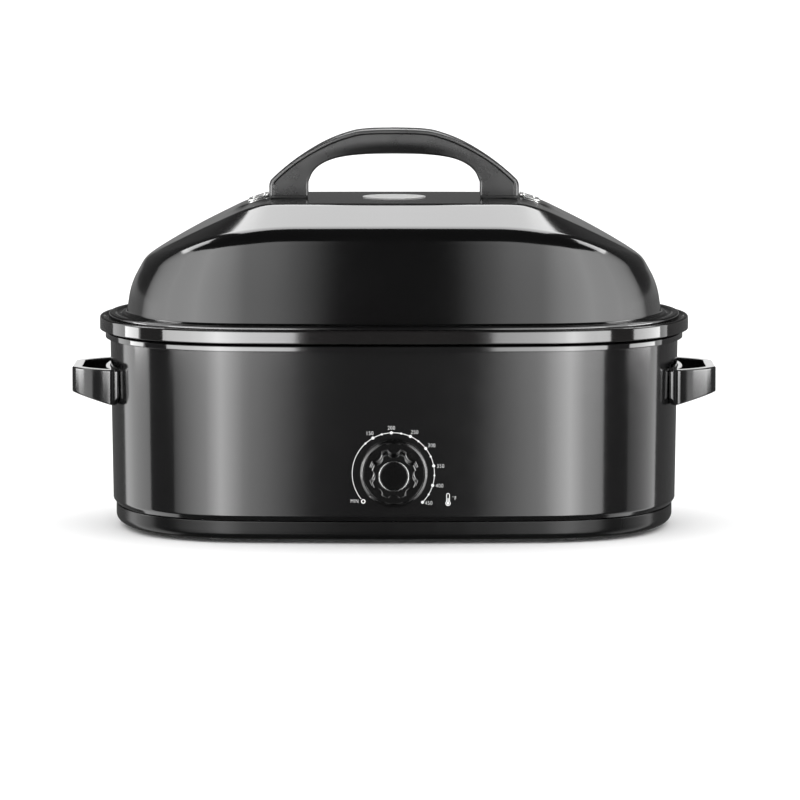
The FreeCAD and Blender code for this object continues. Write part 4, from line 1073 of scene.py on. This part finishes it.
def flat_shape(outline_pts, hole=None, thick=0.07):
    """a filled print shape from (x, z) points, as a thin closed skin on the casing"""
    bm = bmesh.new()
    me = bpy.data.meshes.new("shape")
    n = len(outline_pts)
    verts, faces = [], []
    for off in (-0.03, thick):
        verts += [on_front(x, z, off) for x, z in outline_pts]
    if hole is None:
        for off in (-0.03, thick):
            cx = sum(p[0] for p in outline_pts) / n
            cz = sum(p[1] for p in outline_pts) / n
            verts.append(on_front(cx, cz, off))
        faces += [(2 * n, (j + 1) % n, j) for j in range(n)]
        faces += [(2 * n + 1, n + j, n + (j + 1) % n) for j in range(n)]
        faces += [(j, (j + 1) % n, n + (j + 1) % n, n + j) for j in range(n)]
    else:
        for off in (-0.03, thick):
            verts += [on_front(x, z, off) for x, z in hole]
        for j in range(n):
            k = (j + 1) % n
            faces += [(j, k, n + k, n + j), (2 * n + j, 3 * n + j, 3 * n + k, 2 * n + k),
                      (n + j, n + k, 3 * n + k, 3 * n + j), (j, 2 * n + j, 2 * n + k, k)]
    return verts, faces


def ring_pts(cx, cz, r, n=28):
    return [(cx + r * math.cos(2 * math.pi * k / n), cz + r * math.sin(2 * math.pi * k / n)) for k in range(n)]


ARC_R = 35.6
shapes = []
a0, a1, steps = math.radians(218.4), math.radians(-44.0), 150
strip_o = [(ARC_R + 0.26, a0 + (a1 - a0) * k / steps) for k in range(steps + 1)]
strip_i = [(ARC_R - 0.26, a) for _, a in strip_o]
verts, faces = [], []
for k in range(steps + 1):
    for off in (-0.03, 0.06):
        for r, a in (strip_i[k], strip_o[k]):
            verts.append(on_front(r * math.cos(a), KZ + r * math.sin(a), off))
for k in range(steps):
    b, c = 4 * k, 4 * k + 4
    faces += [(b, b + 1, c + 1, c), (b + 2, c + 2, c + 3, b + 3), (b, c, c + 2, b + 2), (b + 1, b + 3, c + 3, c + 1)]
faces += [(0, 2, 3, 1), (4 * steps, 4 * steps + 1, 4 * steps + 3, 4 * steps + 2)]
shapes.append((verts, faces))
BIG = (119.6, 92.7, 65.5, 37.9, 10.9, -16.9, -44.7)
SMALL = (132.6, 106.3, 78.9, 52.2, 24.6, -2.8, -30.8)
for ang in BIG:
    a = math.radians(ang)
    shapes.append(flat_shape(ring_pts(ARC_R * math.cos(a), KZ + ARC_R * math.sin(a), 1.3), thick=0.075))
for ang in SMALL:
    a = math.radians(ang)
    shapes.append(flat_shape(ring_pts(ARC_R * math.cos(a), KZ + ARC_R * math.sin(a), 0.85), thick=0.075))
a = math.radians(223.1)
c = (ARC_R * math.cos(a), KZ + ARC_R * math.sin(a))
shapes.append(flat_shape(ring_pts(c[0], c[1], 1.95), ring_pts(c[0], c[1], 1.1), 0.075))
# thermometer: outline, then the column and bulb inside it
tx, tz = 47.4, KZ - 22.7


def thermo(r_top, r_bulb, z_top, z_bulb, n=48):
    pts = []
    for k in range(13):
        a = math.pi * k / 12
        pts.append((tx + r_top * math.cos(a), tz + z_top + r_top * math.sin(a)))
    open_a = math.asin(min(1.0, r_top / r_bulb))
    for k in range(n - 13):
        a = math.pi / 2 + open_a + (2 * math.pi - 2 * open_a) * k / (n - 14)
        pts.append((tx + r_bulb * math.cos(a), tz + z_bulb + r_bulb * math.sin(a)))
    return pts


shapes.append(flat_shape(thermo(1.55, 2.25, 4.0, -3.3), thermo(0.95, 1.65, 4.0, -3.3), 0.075))
shapes.append(flat_shape(thermo(0.42, 1.15, 0.9, -3.3), None, 0.075))
printed = [mesh_object("scale_%d" % i, v, f) for i, (v, f) in enumerate(shapes)]


def label(text, x, z, height, narrow=0.9):
    cu = bpy.data.curves.new("t_" + text, "FONT")
    cu.body = text
    cu.size = 1.0
    cu.resolution_u = 6
    cu.extrude = 0.05
    cu.offset = -0.018
    cu.space_character = 1.14
    cu.align_x = "CENTER"
    ob = bpy.data.objects.new("t", cu)
    SCENE.collection.objects.link(ob)
    bpy.context.view_layer.update()
    dg = bpy.context.evaluated_depsgraph_get()
    me = bpy.data.meshes.new_from_object(ob.evaluated_get(dg), depsgraph=dg)
    bpy.data.objects.remove(ob)
    bpy.data.curves.remove(cu)
    xs = [v.co.x for v in me.vertices]
    ys = [v.co.y for v in me.vertices]
    k = height / (max(ys) - min(ys))
    mx, my = (max(xs) + min(xs)) / 2, (max(ys) + min(ys)) / 2
    for v in me.vertices:
        p = on_front(x + (v.co.x - mx) * k * narrow, z + (v.co.y - my) * k, 0.075 if v.co.z > 0 else -0.03)
        v.co = place(p)
    bm = bmesh.new()
    bm.from_mesh(me)
    bmesh.ops.remove_doubles(bm, verts=bm.verts, dist=1e-7)
    bmesh.ops.recalc_face_normals(bm, faces=bm.faces)
    bm.to_mesh(me)
    bm.free()
    o = bpy.data.objects.new("label", me)
    SCENE.collection.objects.link(o)
    return o


for text, x, z, h in (("150", -20.1, 35.2, 3.2), ("200", -1.7, 39.9, 3.2), ("250", 18.4, 36.2, 3.2),
                      ("300", 33.2, 24.6, 3.2), ("350", 40.9, 6.6, 3.2), ("400", 40.0, -10.6, 3.2),
                      ("450", 30.6, -25.6, 3.2), ("MIN", -33.6, -24.0, 3.0), ("°F", 52.9, -21.4, 3.4)):
    printed.append(label(text, x, KZ + z, h, 0.8 if text == "MIN" else 0.84))
scale = joined("dial_scale_print", printed)
piece(scale, "print", "housing", ())

# --------------------------------------------- CAD nodes that stay as they are
KEEP = {
    "heater_band": "heater", "insulation_blanket": "blanket", "heat_reflector": "inner",
    "heater_terminals": "zinc", "bottom_plate": "zinc", "base_posts": "zinc", "base_screws": "zinc",
    "thermostat": "ceramic", "thermostat_bracket": "zinc", "thermostat_screws": "zinc",
    "thermostat_probe": "zinc", "inner_lead": "lead", "side_handle_screws": "zinc",
    "lid_washers": "zinc", "lid_handle_screws": "zinc", "thermostat_shaft": "zinc"}
for name, key in KEEP.items():
    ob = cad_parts[name]
    ob.data.materials.clear()
    ob.data.materials.append(M[key])

# ------------------------------------------------------------- floor and light
me = bpy.data.meshes.new("floor")
me.from_pydata([(-40, -20, 0), (40, -20, 0), (40, 60, 0), (-40, 60, 0)], [], [(0, 1, 2, 3)])
floor = bpy.data.objects.new("floor", me)
SCENE.collection.objects.link(floor)
t = Tree("floor_pale")
t.put(color=t.mix(t.span(t.noise(3.0, 2.0), 0.0, 1.0), (0.93, 0.93, 0.93), (0.95, 0.95, 0.95)),
      rough=t.span(t.noise(20.0, 2.0), 0.85, 0.95), spec=0.1)
me.materials.append(t.mat)
floor.visible_glossy = False
floor.visible_shadow = False

world = bpy.data.worlds.new("studio")
SCENE.world = world
world.use_nodes = True
world.cycles.sampling_method = "NONE"
wt = world.node_tree
wt.nodes.clear()
w_out = wt.nodes.new("ShaderNodeOutputWorld")
bg_room = wt.nodes.new("ShaderNodeBackground")
bg_room.inputs["Color"].default_value = (1, 1, 1, 1)
bg_room.inputs["Strength"].default_value = 1.5
bg_gloss = wt.nodes.new("ShaderNodeBackground")
path = wt.nodes.new("ShaderNodeLightPath")
mixer = wt.nodes.new("ShaderNodeMixShader")
geo = wt.nodes.new("ShaderNodeTexCoord")
sep = wt.nodes.new("ShaderNodeSeparateXYZ")
ramp = wt.nodes.new("ShaderNodeValToRGB")
wt.links.new(geo.outputs["Generated"], sep.inputs[0])
half = wt.nodes.new("ShaderNodeMapRange")
half.inputs["From Min"].default_value = -1.0
half.inputs["From Max"].default_value = 1.0
wt.links.new(sep.outputs["Z"], half.inputs["Value"])
wt.links.new(half.outputs[0], ramp.inputs[0])
stops = [(0.0, 0.06), (0.40, 0.12), (0.47, 0.15), (0.50, 0.30), (0.519, 0.30), (0.527, 0.10), (0.548, 0.07), (0.75, 0.06),
         (1.0, 0.05)]
ramp.color_ramp.elements[0].position = stops[0][0]
ramp.color_ramp.elements[0].color = (stops[0][1],) * 3 + (1,)
ramp.color_ramp.elements[1].position = stops[-1][0]
ramp.color_ramp.elements[1].color = (stops[-1][1],) * 3 + (1,)
for pos, val in stops[1:-1]:
    e = ramp.color_ramp.elements.new(pos)
    e.color = (val, val, val, 1)
wt.links.new(ramp.outputs[0], bg_gloss.inputs["Color"])
wt.links.new(path.outputs["Is Glossy Ray"], mixer.inputs[0])
wt.links.new(bg_room.outputs[0], mixer.inputs[1])
wt.links.new(bg_gloss.outputs[0], mixer.inputs[2])
wt.links.new(mixer.outputs[0], w_out.inputs["Surface"])


def panel(name, azimuth, width, height, radiance, z=0.0, dist=1.7, diffuse=False, fade=None):
    """a soft box at an azimuth from the camera's side towards -x, facing the oven"""
    a = math.radians(azimuth)
    loc = Vector((-math.sin(a) * dist, -math.cos(a) * dist + YS * MM, z))
    li = bpy.data.lights.new(name, "AREA")
    li.shape = "RECTANGLE"
    li.size, li.size_y = width, height
    li.energy = radiance * math.pi * width * height
    ob = bpy.data.objects.new(name, li)
    ob.location = loc
    ob.rotation_euler = (Vector((0, YS * MM, z)) - loc).to_track_quat("-Z", "Y").to_euler()
    SCENE.collection.objects.link(ob)
    ob.visible_camera = False
    ob.visible_diffuse = diffuse
    if fade:
        li.use_nodes = True
        nt = li.node_tree
        em = nt.nodes["Emission"]
        g = nt.nodes.new("ShaderNodeNewGeometry")
        s = nt.nodes.new("ShaderNodeSeparateXYZ")
        r = nt.nodes.new("ShaderNodeMapRange")
        r.inputs["To Min"].default_value = fade[0]
        r.inputs["To Max"].default_value = fade[1]
        nt.links.new(g.outputs["Parametric"], s.inputs[0])
        nt.links.new(s.outputs[0], r.inputs["Value"])
        nt.links.new(r.outputs[0], em.inputs["Strength"])
    return ob


# the two sides: from azimuth, to azimuth, radiance at the one and at the other
SOFT_L = (("near", 8.3, 16.0, 0.1, 4.4), ("strip_a", 16.0, 32.0, 4.4, 9.2), ("strip_b", 32.0, 43.0, 9.2, 4.9),
          ("side", 43.0, 71.0, 4.7, 0.8), ("back", 96.5, 135.0, 2.1, 1.7))
SOFT_R = (("near", 8.0, 16.0, 0.1, 4.8), ("strip_a", 16.0, 34.0, 4.8, 9.8), ("strip_b", 34.0, 45.0, 9.8, 5.9),
          ("side", 45.0, 61.5, 5.7, 3.6), ("back", 85.0, 124.0, 0.5, 2.1))
# the lid has one wide graded box a side of its own
LID = (("lid_a", 6.0, 12.0, 0.0, 2.4), ("lid_b", 12.0, 34.0, 2.4, 4.5), ("lid_c", 34.0, 60.0, 4.5, 5.9),
       ("lid_d", 60.0, 92.0, 5.9, 4.1), ("lid_e", 92.0, 132.0, 4.1, 0.4))
# low strips, which only upright polished edges see
LOW_L = ((9.4, 29.0, 10.5), (29.0, 51.0, 10.5), (51.0, 74.0, 10.0), (98.0, 116.0, 8.0))
LOW_R = ((9.4, 29.0, 6.0), (29.0, 51.0, 7.0), (51.0, 62.0, 7.5), (82.0, 112.0, 8.0))
DIST = 1.7


def linked(light, obs, state="INCLUDE"):
    """the light falls only on obs, or on all but obs"""
    coll = bpy.data.collections.new("for_" + light.name)
    for o in obs:
        coll.objects.link(o)
    light.light_linking.receiver_collection = coll
    for c in coll.collection_objects:
        c.light_linking.link_state = state


grips = [bpy.data.objects["side_grip_left"], bpy.data.objects["side_grip_right"]]
for sgn, tag, soft, low in ((1, "l", SOFT_L, LOW_L), (-1, "r", SOFT_R, LOW_R)):
    mid, half_a, e = (97.0, 12.0, 2.3) if sgn > 0 else (90.0, 14.5, 2.3)
    linked(panel("softbox_grip_" + tag, mid * sgn, 2 * DIST * math.tan(math.radians(half_a)), 2.4, e, dist=DIST), grips)
    for nm, b0, b1, e0, e1 in soft + LID:
        half_a = math.radians((b1 - b0) / 2)
        top_e = max(e0, e1)
        f = (e1 / top_e, e0 / top_e) if sgn > 0 else (e0 / top_e, e1 / top_e)
        box = panel("softbox_%s_%s" % (nm, tag), (b0 + b1) / 2 * sgn, 2 * DIST * math.tan(half_a),
                    4.2 if nm == "back" else 2.6, top_e, dist=DIST, fade=f)
        linked(box, [lid] + (grips if nm == "back" else []), "INCLUDE" if nm.startswith("lid") else "EXCLUDE")
    for k, (b0, b1, e) in enumerate(low):
        half_a = math.radians((b1 - b0) / 2)
        panel("strip_%d_%s" % (k, tag), (b0 + b1) / 2 * sgn, 2 * (DIST - 0.05) * math.tan(half_a), 0.22, e,
              z=0.12, dist=DIST - 0.05)

# a low soft box behind, for the flat tops of the side handles
grip_box = panel("softbox_grips", 180.0, 1.6, 0.5, 1.15, z=0.30, dist=2.0)
linked(grip_box, grips)

# two high soft boxes behind the ends: crowns of the handles, shoulders of the lid
for sx in (-1, 1):
    li = bpy.data.lights.new("high_box", "AREA")
    li.shape = "RECTANGLE"
    li.size, li.size_y = 0.55, 0.55
    li.energy = 6.0 * math.pi * 0.55 * 0.55
    ob = bpy.data.objects.new("high_box_l" if sx < 0 else "high_box_r", li)
    ob.location = (1.12 * sx, 0.62, 1.22)
    ob.rotation_euler = (Vector((0.2 * sx, 0, 0.15)) - Vector(ob.location)).to_track_quat("-Z", "Y").to_euler()
    SCENE.collection.objects.link(ob)
    ob.visible_camera = False
    ob.visible_diffuse = False

# overhead soft box, for the top of the lid and the floor
li = bpy.data.lights.new("softbox_top", "AREA")
li.shape = "RECTANGLE"
li.size, li.size_y = 1.3, 1.2
li.energy = 4.3 * math.pi * 1.3 * 1.2
top = bpy.data.objects.new("softbox_top", li)
top.location = (0.0, 1.25, 1.75)
top.rotation_euler = (Vector((0, 0, 0.25)) - Vector(top.location)).to_track_quat("-Z", "Y").to_euler()
SCENE.collection.objects.link(top)
top.visible_camera = False
top.visible_diffuse = False

# ---------------------------------------------------------------------- camera
cam_data = bpy.data.cameras.new("camera")
cam_data.sensor_width = 36.0
cam_data.lens = 278.4
cam_data.clip_end = 200.0
cam = bpy.data.objects.new("camera", cam_data)
cam.location = (0.0053, 0.008 - 5.5, 0.623)
cam.rotation_euler = (math.radians(90 - 5.33), 0, 0)
SCENE.collection.objects.link(cam)
SCENE.camera = cam
SCENE.view_settings.view_transform = "Standard"
